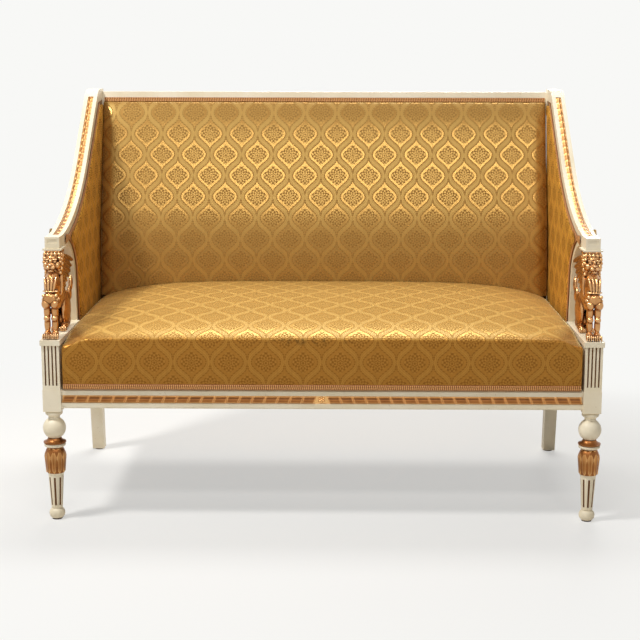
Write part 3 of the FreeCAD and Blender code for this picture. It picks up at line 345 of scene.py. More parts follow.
def silk_damask(name, satin_rough, ribbon_rough, shine, bloom, figure, brightened_from, brightening, saturation, hue):
    """Gold silk damask: smooth satin medallions that catch the light, duller ribbons between them in an ogee
    trellis, and matt brown floral figures. Away from the light the three nearly merge. One repeat is 83.5 by
    108 mm. The threads are drawn at 1.4 mm, because the real ones are too fine to show. Above a height in
    metres, the silk takes the change of colour that the last three values give; a value above 1 makes it
    paler, as painted light."""
    made = new_material(name)
    cloth = node("UVMap", uv_map="cloth")["UV"]
    parts = node("SeparateXYZ", (cloth,))
    u, v = parts["X"], parts["Y"]
    # Sizes in metres: the repeat, a medallion's shape, dots, chequers, rings of florets and threads.
    wide, tall = 0.0835, 0.108
    bulge, reach = 0.186 * wide, 0.385 * tall
    dot_pitch, chequer_size, ring_pitch, thread_pitch = 0.0054, 0.0026, 0.0098, 0.0014
    # Wavy lines that part the staggered columns of medallions.
    across = node("Math", (u, wide / 2), operation="PINGPONG")[0]
    wave = wave_along(v, tall, "COSINE")
    bound = node("Math", (wave, wide / 4, wide / 4), operation="MULTIPLY_ADD")[0]
    inside = node("Math", (bound, across), operation="SUBTRACT")[0]
    first = node("Math", (inside, 0.0), operation="GREATER_THAN")[0]
    # Place inside the nearest medallion, with its left half folded onto its right half.
    other = node("Math", (wide / 2, across), operation="SUBTRACT")[0]
    swap = node("Math", (across, other), operation="SUBTRACT")[0]
    x = node("Math", (first, swap, other), operation="MULTIPLY_ADD")[0]
    level = node("Math", (v, tall / 2, -tall / 2), operation="WRAP")[0]
    raised = node("Math", (v, tall / 2), operation="ADD")[0]
    next_level = node("Math", (raised, tall / 2, -tall / 2), operation="WRAP")[0]
    shift = node("Math", (level, next_level), operation="SUBTRACT")[0]
    y = node("Math", (first, shift, next_level), operation="MULTIPLY_ADD")[0]
    # Onion-shaped medallion: how far a point is inside its edge, square to the edge.
    lift = node("Math", (y, math.pi / reach), operation="MULTIPLY")[0]
    held = node("Clamp", (lift, -math.pi, math.pi))[0]
    crest = node("Math", (held,), operation="COSINE")[0]
    half = node("Math", (crest, bulge, bulge), operation="MULTIPLY_ADD")[0]
    fall = node("Math", (held,), operation="SINE")[0]
    pitch = node("Math", (fall, bulge * math.pi / reach), operation="MULTIPLY")[0]
    pitch_square = node("Math", (pitch, pitch, 1.0), operation="MULTIPLY_ADD")[0]
    shorten = node("Math", (pitch_square,), operation="INVERSE_SQRT")[0]
    within = node("Math", (half, x), operation="SUBTRACT")[0]
    depth = node("Math", (within, shorten), operation="MULTIPLY")[0]
    # Ribbon with dotted edges and a faint cord line, and a fine chequer where the ribbons cross.
    ribbon = node("MapRange", {"Value": depth, "From Min": -0.0006, "From Max": 0.0006, "To Min": 1.0,
                               "To Max": 0.0})[0]
    drawn = []
    for inwards, solid, gone, strength in ((0.0016, 0.0010, 0.0021, 1.0), (0.0058, 0.0003, 0.0011, 0.4)):
        off = node("Math", (depth, inwards), operation="ADD")[0]
        gap = node("Math", (off,), operation="ABSOLUTE")[0]
        drawn.append(node("MapRange", {"Value": gap, "From Min": solid, "From Max": gone, "To Min": strength,
                                       "To Max": 0.0})[0])
    edge, cord = drawn
    pulse = wave_along(v, dot_pitch, "SINE")
    dots = node("MapRange", {"Value": pulse, "From Min": -0.6, "From Max": 0.2, "To Min": 0.45})[0]
    dotted = node("Math", (edge, dots), operation="MULTIPLY")[0]
    squares = node("TexChecker", {"Vector": cloth, "Scale": 1 / chequer_size})["Fac"]
    crossing = node("Math", (depth, -0.0085), operation="LESS_THAN")[0]
    chequer = node("Math", (squares, crossing), operation="MULTIPLY")[0]
    soft_chequer = node("Math", (chequer, 0.45), operation="MULTIPLY")[0]
    lines = node("Math", (dotted, cord), operation="MAXIMUM")[0]
    woven = node("Math", (lines, soft_chequer), operation="MAXIMUM")[0]
    # Floral figure in the inner field: a round flower, with rings of small leaves and florets about it.
    field = node("MapRange", {"Value": depth, "From Min": 0.0052, "From Max": 0.0062})[0]
    low = node("Math", (y, 0.002), operation="ADD")[0]
    flower_spot = node("CombineXYZ", (x, low))[0]
    radius = node("VectorMath", (flower_spot,), operation="LENGTH")["Value"]
    angle = node("Math", (x, low), operation="ARCTAN2")[0]
    leaf_wave = wave_along(angle, 2 * math.pi / 11, "COSINE")
    ring_wave = wave_along(radius, ring_pitch, "SINE")
    weave = node("Math", (leaf_wave, ring_wave), operation="MULTIPLY")[0]
    florets = node("MapRange", {"Value": weave, "From Min": -0.16, "From Max": 0.1})[0]
    outside = node("Math", (radius, 0.0094), operation="GREATER_THAN")[0]
    scattered = node("Math", (florets, outside), operation="MULTIPLY")[0]
    petal_wave = wave_along(angle, 2 * math.pi / 6, "COSINE")
    petal_edge = node("Math", (petal_wave, 0.0011, 0.0062), operation="MULTIPLY_ADD")[0]
    petal_gap = node("Math", (radius, petal_edge), operation="SUBTRACT")[0]
    petal_line = node("Math", (petal_gap, 0.0, 0.0011), operation="COMPARE")[0]
    heart = node("Math", (radius, 0.0026), operation="LESS_THAN")[0]
    flower = node("Math", (petal_line, heart), operation="MAXIMUM")[0]
    figures = node("Math", (flower, scattered), operation="MAXIMUM")[0]
    floral = node("Math", (figures, field), operation="MULTIPLY")[0]
    brown = node("Math", (floral, woven), operation="MAXIMUM")[0]
    # Colour: nearly one tone, with old wear, soft fading and pulled threads. The sheen makes the figure.
    place = node("TexCoord")["Object"]
    fading = node("TexNoise", {"Vector": place, "Scale": 4.0, "Detail": 3.0})["Fac"]
    satin = node("MixRGB", (fading, colour("#9E6824"), colour("#A8702C")))[0]
    dull_part = node("MapRange", {"Value": field, "To Max": 0.45})[0]
    plain = node("Math", (ribbon, dull_part), operation="MAXIMUM")[0]
    trellis = node("MixRGB", (plain, satin, colour("#AE7830")))[0]
    figured = node("MixRGB", (brown, trellis, colour(figure)))[0]
    thread_way = node("Mapping", {"Vector": cloth, "Scale": (260.0, 9.0, 1.0)})[0]
    threads = node("TexNoise", {"Vector": thread_way, "Scale": 1.0, "Detail": 3.0})["Fac"]
    pulled = node("MapRange", {"Value": threads, "From Min": 0.35, "From Max": 0.7, "To Max": 0.3})[0]
    streaked = node("MixRGB", (pulled, figured, colour("#8A5A1E")))[0]
    # Above a height the silk is made paler, as painted light, and grime runs along the front edge of the
    # seat.
    height = node("SeparateXYZ", (place,))["Z"]
    brightened_to = brightened_from + 0.01
    brightened_part = node("MapRange", {"Value": height, "From Min": brightened_from, "From Max": brightened_to})[0]
    brightened = node("HueSaturation", {"Hue": hue, "Saturation": saturation, "Value": brightening, "Fac": brightened_part,
                                  "Color": streaked})[0]
    spread = node("VectorMath", (place, (0.12, 1.0, 1.0)), operation="MULTIPLY")["Vector"]
    off_edge = node("VectorMath", (spread, (-0.0048, FRONT, 0.4235)), operation="DISTANCE")["Value"]
    near_edge = node("MapRange", {"Value": off_edge, "From Min": 0.004, "From Max": 0.015, "To Min": 1.0,
                                  "To Max": 0.0})[0]
    spots = node("TexNoise", {"Vector": place, "Scale": 75.0, "Detail": 4.0})["Fac"]
    grime_and_shade = node("MapRange", {"Value": spots, "From Min": 0.52, "From Max": 0.66, "To Max": 0.75})[0]
    grime = node("Math", (near_edge, grime_and_shade), operation="MULTIPLY")[0]
    worn = node("MixRGB", (grime, brightened, colour("#3A2109")))[0]
    calm = node("MapRange", {"Value": plain, "To Min": satin_rough, "To Max": ribbon_rough})[0]
    dull = node("MixRGB", (brown, calm, (0.85, 0.85, 0.85, 1.0)))[0]
    glint = node("MapRange", {"Value": plain, "To Min": 0.38, "To Max": 0.08})[0]
    unfigured = node("Math", (1.0, brown), operation="SUBTRACT")[0]
    silk = node("Math", (glint, unfigured), operation="MULTIPLY")[0]
    rib = wave_along(v, thread_pitch, "SINE")
    relief = node("Math", (brown, -2.0, rib), operation="MULTIPLY_ADD")[0]
    bump = node("Bump", {"Height": relief, "Strength": 0.025, "Distance": 0.0003})[0]
    skin = node("BsdfPrincipled", {
        "Base Color": worn, "Roughness": dull, "Metallic": silk, "Normal": bump, "Specular IOR Level": shine,
        "Specular Tint": colour("#FFEE9A"), "Sheen Weight": bloom, "Sheen Roughness": 0.35,
        "Sheen Tint": colour("#FFEEB0")})[0]
    node("OutputMaterial", (skin,))
    return made


def gimp_braid():
    """Flat silk braid: a looped tan cord with brown edges, one loop every 4.6 mm."""
    made = new_material("silk_gimp_braid")
    parts = node("SeparateXYZ", (node("UVMap", uv_map="cloth")["UV"],))
    beat = node("Math", (parts["X"], 2 * math.pi / 0.0046), operation="MULTIPLY")[0]
    swing = wave_along(parts["Y"], BRAID_WIDE / 1000, "SINE")
    twist = node("Math", (swing, 0.7, beat), operation="MULTIPLY_ADD")[0]
    loop = node("Math", (twist,), operation="SINE")[0]
    open_loop = node("MapRange", {"Value": loop, "From Min": -0.4, "From Max": 0.5})[0]
    middle = wave_along(parts["Y"], BRAID_WIDE / 1000, "COSINE")
    rim = node("MapRange", {"Value": middle, "From Min": 0.8, "From Max": 0.97})[0]
    cord = node("MixRGB", (open_loop, colour("#8C4E1C"), colour("#DDA562")))[0]
    edged = node("MixRGB", (rim, cord, colour("#8E4E22")))[0]
    bump = node("Bump", {"Height": loop, "Strength": 0.5, "Distance": 0.0006})[0]
    skin = node("BsdfPrincipled", {
        "Base Color": edged, "Roughness": 0.65, "Sheen Weight": 0.05, "Normal": bump})[0]
    node("OutputMaterial", (skin,))
    return made


def beech():
    """Planed beech left bare: pinkish tan with short darker flecks along the grain."""
    made = new_material("bare_beech")
    place = node("TexCoord")["Object"]
    grain = node("Mapping", {"Vector": place, "Scale": (6.0, 60.0, 60.0)})[0]
    figure = node("TexNoise", {"Vector": grain, "Scale": 3.0, "Detail": 5.0, "Roughness": 0.65})["Fac"]
    return two_tone(made, figure, "#A97B4C", "#D6B083", relief=0.15, depth=0.0004, rough=0.62)


def plain_weave(name, ways, scale, wobble, dark, light, relief, depth, rough):
    """Cloth of yarns that run two ways, over and under each other."""
    made = new_material(name)
    yarn = {"Vector": node("TexCoord")["Object"], "Scale": scale, "Distortion": wobble}
    yarns = [node("TexWave", yarn, bands_direction=way)["Fac"] for way in ways]
    weave = node("Math", yarns, operation="MULTIPLY")[0]
    return two_tone(made, weave, dark, light, relief, depth, rough)


def steel():
    """Drawn steel wire and screws: grey, oiled, with spots of brown rust."""
    made = new_material("oiled_steel")
    place = node("TexCoord")["Object"]
    spots = node("TexNoise", {"Vector": place, "Scale": 120.0, "Detail": 4.0})["Fac"]
    rust = node("MapRange", {"Value": spots, "From Min": 0.58, "From Max": 0.7})[0]
    tone = node("MixRGB", (rust, colour("#8C8A86"), colour("#6A452C")))[0]
    rough = node("MapRange", {"Value": rust, "To Min": 0.32, "To Max": 0.75})[0]
    skin = node("BsdfPrincipled", {"Base Color": tone, "Metallic": 0.9, "Roughness": rough})[0]
    node("OutputMaterial", (skin,))
    return made


def felt():
    """Pressed brown felt under the feet: dull and fibrous."""
    made = new_material("pressed_felt")
    place = node("TexCoord")["Object"]
    fibres = node("TexNoise", {"Vector": place, "Scale": 900.0, "Detail": 3.0})["Fac"]
    return two_tone(made, fibres, "#3A2A1E", "#5E4733", relief=0.4, depth=0.0005, rough=0.95)


LEG_PAINT = painted_wood("cream_paint_parcel_gilt", True)
GILDING = gilded_carving("water_gilding_on_bole", old_leaf="#9A5A28", fresh_leaf="#E2A866",
                         highlight_leaf="#FFDFAE", hollow_from=0.46, burnish=0.2)
# The mouldings and petals were never burnished. Their leaf is darker, and the painted shade covers more of
# their hollows.
DULL_GILDING = gilded_carving("oil_gilding_on_bole", old_leaf="#6E3B15", fresh_leaf="#B5763C",
                              highlight_leaf="#E6B474", hollow_from=0.47, burnish=0.34)
DAMASK = silk_damask("gold_silk_damask", satin_rough=0.25, ribbon_rough=0.35, shine=1.0, bloom=0.4,
                     figure="#875419", brightened_from=0.0, brightening=1.0, saturation=0.94, hue=0.509)
# The top of the seat is made paler and yellower as painted light, and on the arms the silk is rubbed dull and
# made paler all over as painted light.
SEAT_DAMASK = silk_damask("gold_silk_damask_painted_light_top", satin_rough=0.3, ribbon_rough=0.4, shine=0.5, bloom=0.5,
                          figure="#875419", brightened_from=0.424, brightening=1.66, saturation=0.92, hue=0.519)
ARM_DAMASK = silk_damask("gold_silk_damask_rubbed_painted_light", satin_rough=0.4, ribbon_rough=0.55, shine=0.25,
                         bloom=0.03, figure="#4E2E08", brightened_from=0.0, brightening=1.85, saturation=0.99, hue=0.512)
# Coarse jute, hairy and dull, with 1.6 mm yarns.
JUTE = plain_weave("woven_jute", "ZX", scale=200.0, wobble=1.5, dark="#7A5A34", light="#BD9A66",
                   relief=0.4, depth=0.0006, rough=0.9)
# Black glazed cotton under the seat: a fine weave, drawn at 1 mm so that it shows.
LINING = plain_weave("black_lining_cotton", "XY", scale=310.0, wobble=0.0, dark="#161513", light="#34312D",
                     relief=0.2, depth=0.0003, rough=0.75)
FINISHES = {"painted_wood": painted_wood("aged_cream_paint", False), "gilt_wood": DULL_GILDING,
            "damask": DAMASK, "gimp_braid": gimp_braid(), "bare_beech": beech(), "jute": JUTE,
            "steel": steel(), "foot_pad": felt(), "dust_cloth": LINING}

for name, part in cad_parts.items():
    slot = part.data.materials[0].name.split(".")[0]
    part.data.materials[0] = LEG_PAINT if name.startswith("front_leg") else FINISHES[slot]


def finish_piece(piece, body, slot, *stands_for):
    """Gives a piece its material and its body, and hides the CAD nodes that it stands for."""
    piece.data.materials.clear()
    piece.data.materials.append(FINISHES[slot])
    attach(piece, body)
    if stands_for:
        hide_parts(*stands_for)


def finish_pair(right, *stands_for):
    """Copies a gilt carving of the right-hand side to the left, and finishes both."""
    left = copy_of(right, right.name.replace("right", "left"), TO_LEFT)
    for piece, side in ((right, "right"), (left, "left")):
        finish_piece(piece, "frame", "gilt_wood", *[f"{part}_{side}" for part in stands_for])
    return right, left


# Winged lions: carved lumps, fused and smoothed. A curl of the mane has x, y, z and a size.
MANE_CURLS = (
    (17, 57, 178, 4.7), (18, 59, 169, 4.7), (17.2, 59, 160.4, 4.5), (14.4, 56, 152.6, 4.3),
    (18.2, 69, 184, 5), (18.6, 71, 174, 5.2), (18.6, 72, 163.5, 5.2), (17.6, 69, 153, 5),
    (15.6, 65, 143.5, 4.8), (18.4, 82, 180, 5), (18.8, 84, 168, 5.2))
FEATHER_TIPS = ((229, 149), (212, 138), (193, 128), (173, 119), (153, 111), (133, 103))


def carve_lion():
    """The right-hand lion: x from its own middle, z from the top of the plate."""
    lumps = []

    def lump(x, y, z, wide, deep, tall, pitch=0.0, lean=0.0):
        turn = (math.radians(pitch), math.radians(lean), 0)
        lumps.append(ball(spot(AXIS + x, y, PLATE_TOP + z), (wide, deep, tall), 3, turn))

    def quill(x, start, end, wide, thick):
        """A feather from its root to its tip, both (y, z)."""
        along = math.hypot(end[0] - start[0], end[1] - start[1])
        pitch = math.degrees(math.atan2(end[1] - start[1], end[0] - start[0]))
        lump(x, (start[0] + end[0]) / 2, (start[1] + end[1]) / 2, thick, along / 2, wide, pitch)

    # Chest, bib with folds, belt and palmette.
    lump(0, 49, 116, 18.5, 25, 36, -12)
    lump(0, 37, 124, 14.5, 14, 24, -20)
    for fold in (-10.5, -3.6, 3.6, 10.5):
        lump(fold, 24 + abs(fold) * 0.25, 124, 3.4, 5, 18, -20, fold * 0.9)
    lump(0, 29, 107.5, 19, 13, 2.6)
    for fan in (-58, -29, 0, 29, 58):
        swing = math.radians(fan)
        lump(7 * math.sin(swing), 15.5, 88 + 8 * math.cos(swing), 1.9, 3.2, 7.5, 0, fan)
    lump(0, 22, 92, 16, 11, 13)
    # Neck, head and crown block.
    lump(0, 70, 148, 15.5, 22, 20, -20)
    lump(0, 74, 170, 17, 24, 17)
    lump(0, 46, 162, 10.2, 14, 9.4)
    lump(0, 32.6, 166, 4.4, 3.2, 2.9)
    lump(0, 47, 171.5, 4.6, 11, 5.6, -24)
    lump(0, 42, 151.4, 6.4, 7, 4.2)
    lump(0, 60, 181, 15, 12, 7)
    lump(0, 52, 180.5, 10, 7, 4)
    for row in (-16, -8, 0, 8, 16):
        lump(row, 53 + row * row * 0.022, 187, 4.5, 4.8, 4.8)
    lumps.append(block(spot(AXIS, 85, PLATE_TOP + 190.2), (35, 54, 9.6)))
    # Trunk and rump.
    lump(0, 106, 98, 15.5, 62, 34, -32)
    lump(0, 158, 22, 15, 25, 22)
    for hand in (-1, 1):
        # Face and mane.
        lump(hand * 12.6, 53, 162.5, 7, 9.5, 9)
        lump(hand * 5, 36, 159.4, 5.6, 5.4, 4.8)
        lump(hand * 8.6, 44.5, 172, 3.5, 3, 2.9)
        lump(hand * 8.6, 46, 177, 6, 5, 2.3)
        for x, y, z, size in MANE_CURLS:
            lump(hand * x, y, z, size, size, size)
        # Shoulder lobe, curls beside the palmette, foreleg and paw.
        lump(hand * 9.9, 26, 79, 11, 15, 12.5)
        lump(hand * 13.6, 18.5, 98.5, 4.6, 4.6, 4.6)
        lump(hand * 15.4, 20.5, 89.5, 3.7, 3.7, 3.7)
        lump(hand * 14, 46, 78, 6, 11, 13)
        leg = hand * 8.5
        lump(leg, 27, 62, 8, 9.6, 25)
        lump(leg, 21.5, 46, 7.6, 7.8, 7.6)
        lump(leg, 25.5, 33, 7.3, 7.8, 22)
        lump(leg, 35, 54, 3, 4.4, 24, 12)
        lump(leg, 24, 10, 8.2, 13, 9.6)
        for toe in (-6.9, -2.3, 2.3, 6.9):
            lump(leg + hand * 0.8 + toe, 10.5, 8.4 - abs(toe) * 0.16, 2.3, 7.2, 6.6)
            lump(leg + hand * 0.8 + toe, 5, 3, 1.4, 2.3, 2.4)
        # Haunch and hind foot.
        lump(hand * 10.5, 148, 48, 9.5, 34, 42)
        lump(hand * 10, 165, 18, 7, 15, 18)
        lump(hand * 10, 128, 9, 8, 26, 8.5)
        for toe in (-6, -2, 2, 6):
            lump(hand * 10 + toe, 107, 6, 2.3, 6, 5.8)
            lump(hand * 10 + toe, 102.4, 2.8, 1.2, 2.2, 1.9)
        lump(hand * 14.5, 190, 100, 5.4, 9, 20, -16)
        lump(hand * 13, 178, 78, 6, 12, 18, 10)
        # Wing: ridge, web, long feathers and small coverts.
        quill(hand * 17, (64, 92), (74, 150), 6.5, 5.4)
        quill(hand * 17, (70, 136), (90, 192), 6.5, 5.4)
        lump(hand * 13.4, 128, 148, 3.4, 70, 26, -10)
        for index, tip in enumerate(FEATHER_TIPS):
            root = (90 - index * 3.4, 182 - index * 11.5)
            quill(hand * (15.4 - index * 0.12), root, tip, 6.6, 3.2)
        for row in range(3):
            for step in range(5):
                root = (92 + row * 12 - step * 3.6, 179 - row * 4 - step * 12.5)
                quill(hand * 16.6, root, (root[0] + 18, root[1] - 6 - step * 1.5), 4.8, 2)
    lion = joined("lion_carving_right", lumps)
    shape_with(lion, "REMESH", mode="VOXEL", voxel_size=0.00115, use_smooth_shade=True)
    shape_with(lion, "SMOOTH", factor=0.5, iterations=3)
    return lion


for lion in finish_pair(carve_lion(), "winged_lion"):
    lion.data.materials[0] = GILDING


# Carved moulding of the front rail: folded leaves with slanting ends, that meet at a small middle rosette.
def rail_leaf(u, w):
    """One leaf about its own middle: along x, across z, standing out to -y. Below its rib it swells out."""
    half_long, half_tall, slant, relief = 14.2, 8.2, 3.2, 4.6
    along = 2 * u - 1
    over = 2 * w - 1
    swell = (1 - along ** 40) * min(1.0, 6 * (1 - abs(over))) ** 0.6
    fold = 0.55 + 0.08 * over + (0.2 - 0.5 * over) * (1 - smooth_step(over, 0.0, 0.22))
    return Vector((along * half_long + over * slant, -relief * swell * fold, over * half_tall)) / 1000


def rail_moulding():
    leaf = shaped_grid("leaf", 20, 19, rail_leaf)
    thickened(leaf, 1.2, -1, 50)
    rosette_half, pitch, each_way = 14.2, 28.6, 20
    pieces = []
    for hand in (-1, 1):
        mirror = Matrix.Diagonal((-hand, 1, 1, 1))
        for step in range(each_way):
            place = spot(hand * (rosette_half + (step + 0.5) * pitch), 8.6, RAIL_Z)
            pieces.append(copy_of(leaf, "leaf", Matrix.Translation(place) @ mirror))
    bpy.data.objects.remove(leaf)
    pieces.append(block(spot(0, 8.9, RAIL_Z), (1172, 2.2, 18)))
    petal_out = 4.6
    for petal in range(6):
        turn = petal * math.pi / 3
        place = spot(petal_out * math.sin(turn), 7.4, RAIL_Z + petal_out * math.cos(turn))
        pieces.append(ball(place, (2.6, 3.4, 4.2), 2, (0, turn, 0)))
    pieces.append(ball(spot(0, 5.4, RAIL_Z), (2.4, 2.4, 2.4), 2))
    moulding = joined("front_rail_carving", pieces)
    point_outwards(moulding)
    soften(moulding, 50)
    return moulding


finish_piece(rail_moulding(), "frame", "gilt_wood", "front_rail_moulding")


# Carved chain on each arm: overlapping tongue leaves that point down and forward.
ARM_TOP = bow((106.0, 647.0), (290.0, 695.6), (442.4, 788.8), 60) + [(629.0, 946.0)]


def tongue_leaf(u, w):
    """One leaf: tip at u = 0, root at u = 1; along y, across x, rise in z."""
    half_wide, half_long, high = 6.4, 13, 3.7
    over = 2 * w - 1
    tip = math.sqrt(max(0.0, 1 - (1 - min(u / 0.42, 1.0)) ** 2))
    ridge = 0.7 + 0.3 * math.cos(over * math.pi * 2)
    rise = high * (1 - over * over * 0.75) * ridge * (1 - 0.62 * u) * (0.55 + 0.45 * tip)
    return Vector((over * half_wide * max(tip, 0.08), half_long * (2 * u - 1), rise)) / 1000


def arm_chain():
    leaf = shaped_grid("tongue", 7, 6, tongue_leaf)
    thickened(leaf, 1.2, -1, 50)
    whole = length_of(ARM_TOP)
    count, leaf_sunk, bead_sunk, bed_sunk = 26, 3.1, 2.6, 3.2
    pieces = []
    for step in range(count):
        (y, z), (dy, dz) = walk(ARM_TOP, (step + 0.5) * whole / count)
        place = Matrix.Translation(spot(AXIS, y + dz * leaf_sunk, z - dy * leaf_sunk))
        pieces.append(copy_of(leaf, "tongue", place @ Matrix.Rotation(math.atan2(dz, dy), 4, "X")))
        (y, z), (dy, dz) = walk(ARM_TOP, (step + 0.08) * whole / count)
        for hand in (-1, 1):
            place = spot(AXIS + hand * 4.7, y + dz * bead_sunk, z - dy * bead_sunk)
            pieces.append(ball(place, (1.5, 1.5, 1.5), 1))
    bpy.data.objects.remove(leaf)

    def bed(u, w):
        (y, z), (dy, dz) = walk(ARM_TOP, u * whole)
        return spot(AXIS - 6.5 + 13 * w, y + dz * bed_sunk, z - dy * bed_sunk)

    strip = shaped_grid("bed", 90, 3, bed)
    shape_with(strip, "SOLIDIFY", thickness=0.0007, offset=0)
    pieces.append(strip)
    chain = joined("arm_chain_right", pieces)
    point_outwards(chain)
    soften(chain, 50)
    return chain


finish_pair(arm_chain(), "arm_moulding")


# Lotus petals on the cup of each front leg.
def lotus_radius(z):
    """Radius of the cup: it widens up to its belly and is drawn in to the neck above."""
    foot_z, belly_z, neck_z = 111, 150, 171
    if z < belly_z:
        return 19.5 + (z - foot_z) / (belly_z - foot_z) * 3.3
    return 22.8 - ((z - belly_z) / (neck_z - belly_z)) ** 1.7 * 6.8


def lotus_petal(u, w):
    """One petal: round end at the bottom, narrowing into the neck above."""
    low, tall, half_angle = 111.5, 58, 17.6
    z = low + tall * w
    over = 2 * u - 1
    end = math.sqrt(max(0.0, 1 - (1 - min(w / 0.3, 1.0)) ** 2))
    half = math.radians(half_angle) * max(end, 0.1) * (1 - 0.12 * w)
    lift = 0.5 + 2.0 * math.cos(over * math.pi / 2) - 0.8 * math.exp(-(over / 0.16) ** 2)
    lift *= 1 - 0.55 * smooth_step(w, 0.75, 1.0)
    radius = lotus_radius(z) + lift
    return Vector((radius * math.sin(half * over), -radius * math.cos(half * over), z)) / 1000


def lotus():
    petal = shaped_grid("petal", 9, 9, lotus_petal)
    thickened(petal, 1.4, -1, 60)
    centre = Matrix.Translation(spot(AXIS, LEG_Y, 0))
    count = 10
    turns = [Matrix.Rotation(2 * math.pi * step / count, 4, "Z") for step in range(count)]
    pieces = [copy_of(petal, "petal", centre @ turn) for turn in turns]
    bpy.data.objects.remove(petal)
    return joined("lotus_petals_right", pieces)


finish_pair(lotus())


# Upholstery.
SEAT_HALF = 583.5
SEAT_FRONT = 2.0
SEAT_BACK = 537.0
SEAT_LOW = 311.0


def seat_height(x, y):
    """Top of the stuffed seat: low tight edges, dropping front corners and a full crown towards the back."""
    side = min(abs(x) / SEAT_HALF, 1.0)
    inward = max(y, 0.0)
    edge = 424 + 6.5 * (1 - side ** 6)
    edge -= 15 * smooth_step(side, 0.9, 1.0) * (1 - smooth_step(y, 0.0, 140.0))
    deep = min(inward / 400, 1.0)
    crown = 27 * (1 - (1 - deep) ** 2.1) + 15 * (1 - math.exp(-inward / 42))
    return edge + crown * (1 - side ** 4.4) ** 0.72


def seat_cushion():
    """One closed form: the grid runs up the front, over the top and down the back, and down both ends."""
    edge_round = 9.0
    top_front = SEAT_FRONT + edge_round
    # Shares of the rows up to the top of the front face, the rounded edge and the top, and of the columns.
    face_end, edge_end, top_end, column_end = 0.2, 0.26, 0.86, 0.985

    def place(u, w):
        # The outer columns turn down the ends, the first and last rows run down the front and the back.
        out = abs(2 * u - 1)
        x = SEAT_HALF * max(-1.0, min(1.0, (2 * u - 1) / column_end))
        if w < face_end:
            share = w / face_end
            z = SEAT_LOW + (seat_height(x, 0) - edge_round - SEAT_LOW) * share
            y = SEAT_FRONT - 2.2 * math.sin(math.pi * share)
        elif w < edge_end:
            turn = (w - face_end) / (edge_end - face_end) * math.pi / 2
            z = seat_height(x, 0) - edge_round * (1 - math.sin(turn))
            y = SEAT_FRONT + edge_round * (1 - math.cos(turn))
        elif w < top_end:
            share = (w - edge_end) / (top_end - edge_end)
            y = top_front + (SEAT_BACK - top_front) * share
            z = seat_height(x, y - top_front)
        else:
            share = (w - top_end) / (1 - top_end)
            y = SEAT_BACK
            top = seat_height(x, y - top_front)
            z = top + (SEAT_LOW - top) * share
        over = (out - column_end) / (1 - column_end)
        if over > 0:
            z += (SEAT_LOW - z) * min(over, 1.0)
        else:
            z -= 5 * smooth_step(out, 0.965, 1.0) * (z - SEAT_LOW) / 120
        return spot(x, y, z)

    cushion = closed_pad("seat_cushion", 134, 100, place)

    def flat(point):
        """Back over the top from the front edge, and down the front face from it."""
        back = (point.y - FRONT) * 1000 - 4
        down = point.z * 1000 - 428
        return point.x, (max(back, 0) + min(down, 0)) / 1000

    lay_pattern(cushion, flat)
    return cushion


seat = seat_cushion()
finish_piece(seat, "seat", "damask", "seat_pad")
seat.data.materials[0] = SEAT_DAMASK


def back_face(z):
    """How far back the face of the stuffed back is: upright low down, leaning more from the waist up."""
    lean_from, lean_over = 500, 180
    share = max((z - lean_from) / lean_over, 0.0)
    leaned = share ** 3 - share ** 4 / 2 if share < 1 else share - 0.5
    return 541.5 + 0.05 * (z - 433) + 0.33 * lean_over * leaned + 0.0012 * max(z - 850, 0.0) ** 2


def back_cushion():
    """One closed form: thick below, rounded over at the top and drawn in at the sides."""
    half, low, high, round_from, edge_thick, border_thick = 586.8, 433.0, 930.0, 902.0, 3.0, 2.6
    # The outermost rows and columns are the border, and these shares of the grid make the face.
    column_end, first_row, row_span, border = 0.988, 0.015, 0.97, 0.992

    def place(u, w):
        x = half * max(-1.0, min(1.0, (2 * u - 1) / column_end))
        rise = min(max((w - first_row) / row_span, 0.0), 1.0)
        z = low + (high - low) * rise
        side = min(abs(x) / half, 1.0)
        over = min(max((z - round_from) / (high - round_from), 0.0), 1.0)
        full = edge_thick + (back_plane(z) - back_face(z) - edge_thick) * math.sqrt(1 - over * over)
        rim = 1 - smooth_step(side, 0.955, 1.0)
        thick = edge_thick + (full - edge_thick) * (0.62 + 0.38 * rim)
        thick += 2.5 * (1 - side * side) * math.sin(math.pi * rise)
        if abs(2 * u - 1) > border or w < 1 - border or w > border:
            thick = border_thick
        return spot(x, back_plane(z) - thick, z)

    cushion = closed_pad("back_cushion", 126, 84, place)
    lay_pattern(cushion, lambda point: (point.x + 0.008, (point.z - 0.795) * 1.01))
    return cushion


back = back_cushion()
finish_piece(back, "frame", "damask", "back_pad")


def panel(name, corners, x, puffs):
    """A flat cloth panel cut to an outline of (y, z) corners and puffed out by rings of insets."""
    bpy.ops.object.select_all(action="DESELECT")
    bpy.ops.mesh.primitive_circle_add(vertices=len(corners), radius=1, fill_type="NGON")
    piece = bpy.context.object
    piece.name = name
    for vertex, (y, z) in zip(piece.data.vertices, corners):
        vertex.co = spot(x, y, z)
    bpy.ops.object.mode_set(mode="EDIT")
    bpy.ops.mesh.select_all(action="SELECT")
    bpy.ops.mesh.select_mode(type="FACE")
    facing = 1 if piece.data.polygons[0].normal.x > 0 else -1
    for inset, out in puffs:
        bpy.ops.mesh.inset(thickness=inset / 1000, depth=out * facing / 1000, use_even_offset=False)
    bpy.ops.mesh.quads_convert_to_tris(quad_method="BEAUTY", ngon_method="BEAUTY")
    bpy.ops.object.mode_set(mode="OBJECT")
    return piece


BRAID_RISE = (0.5, 1.9, 2.3, 1.3, 1.6, 1.6, 1.3, 2.3, 1.9, 0.5)  # two cords with a looped band between them


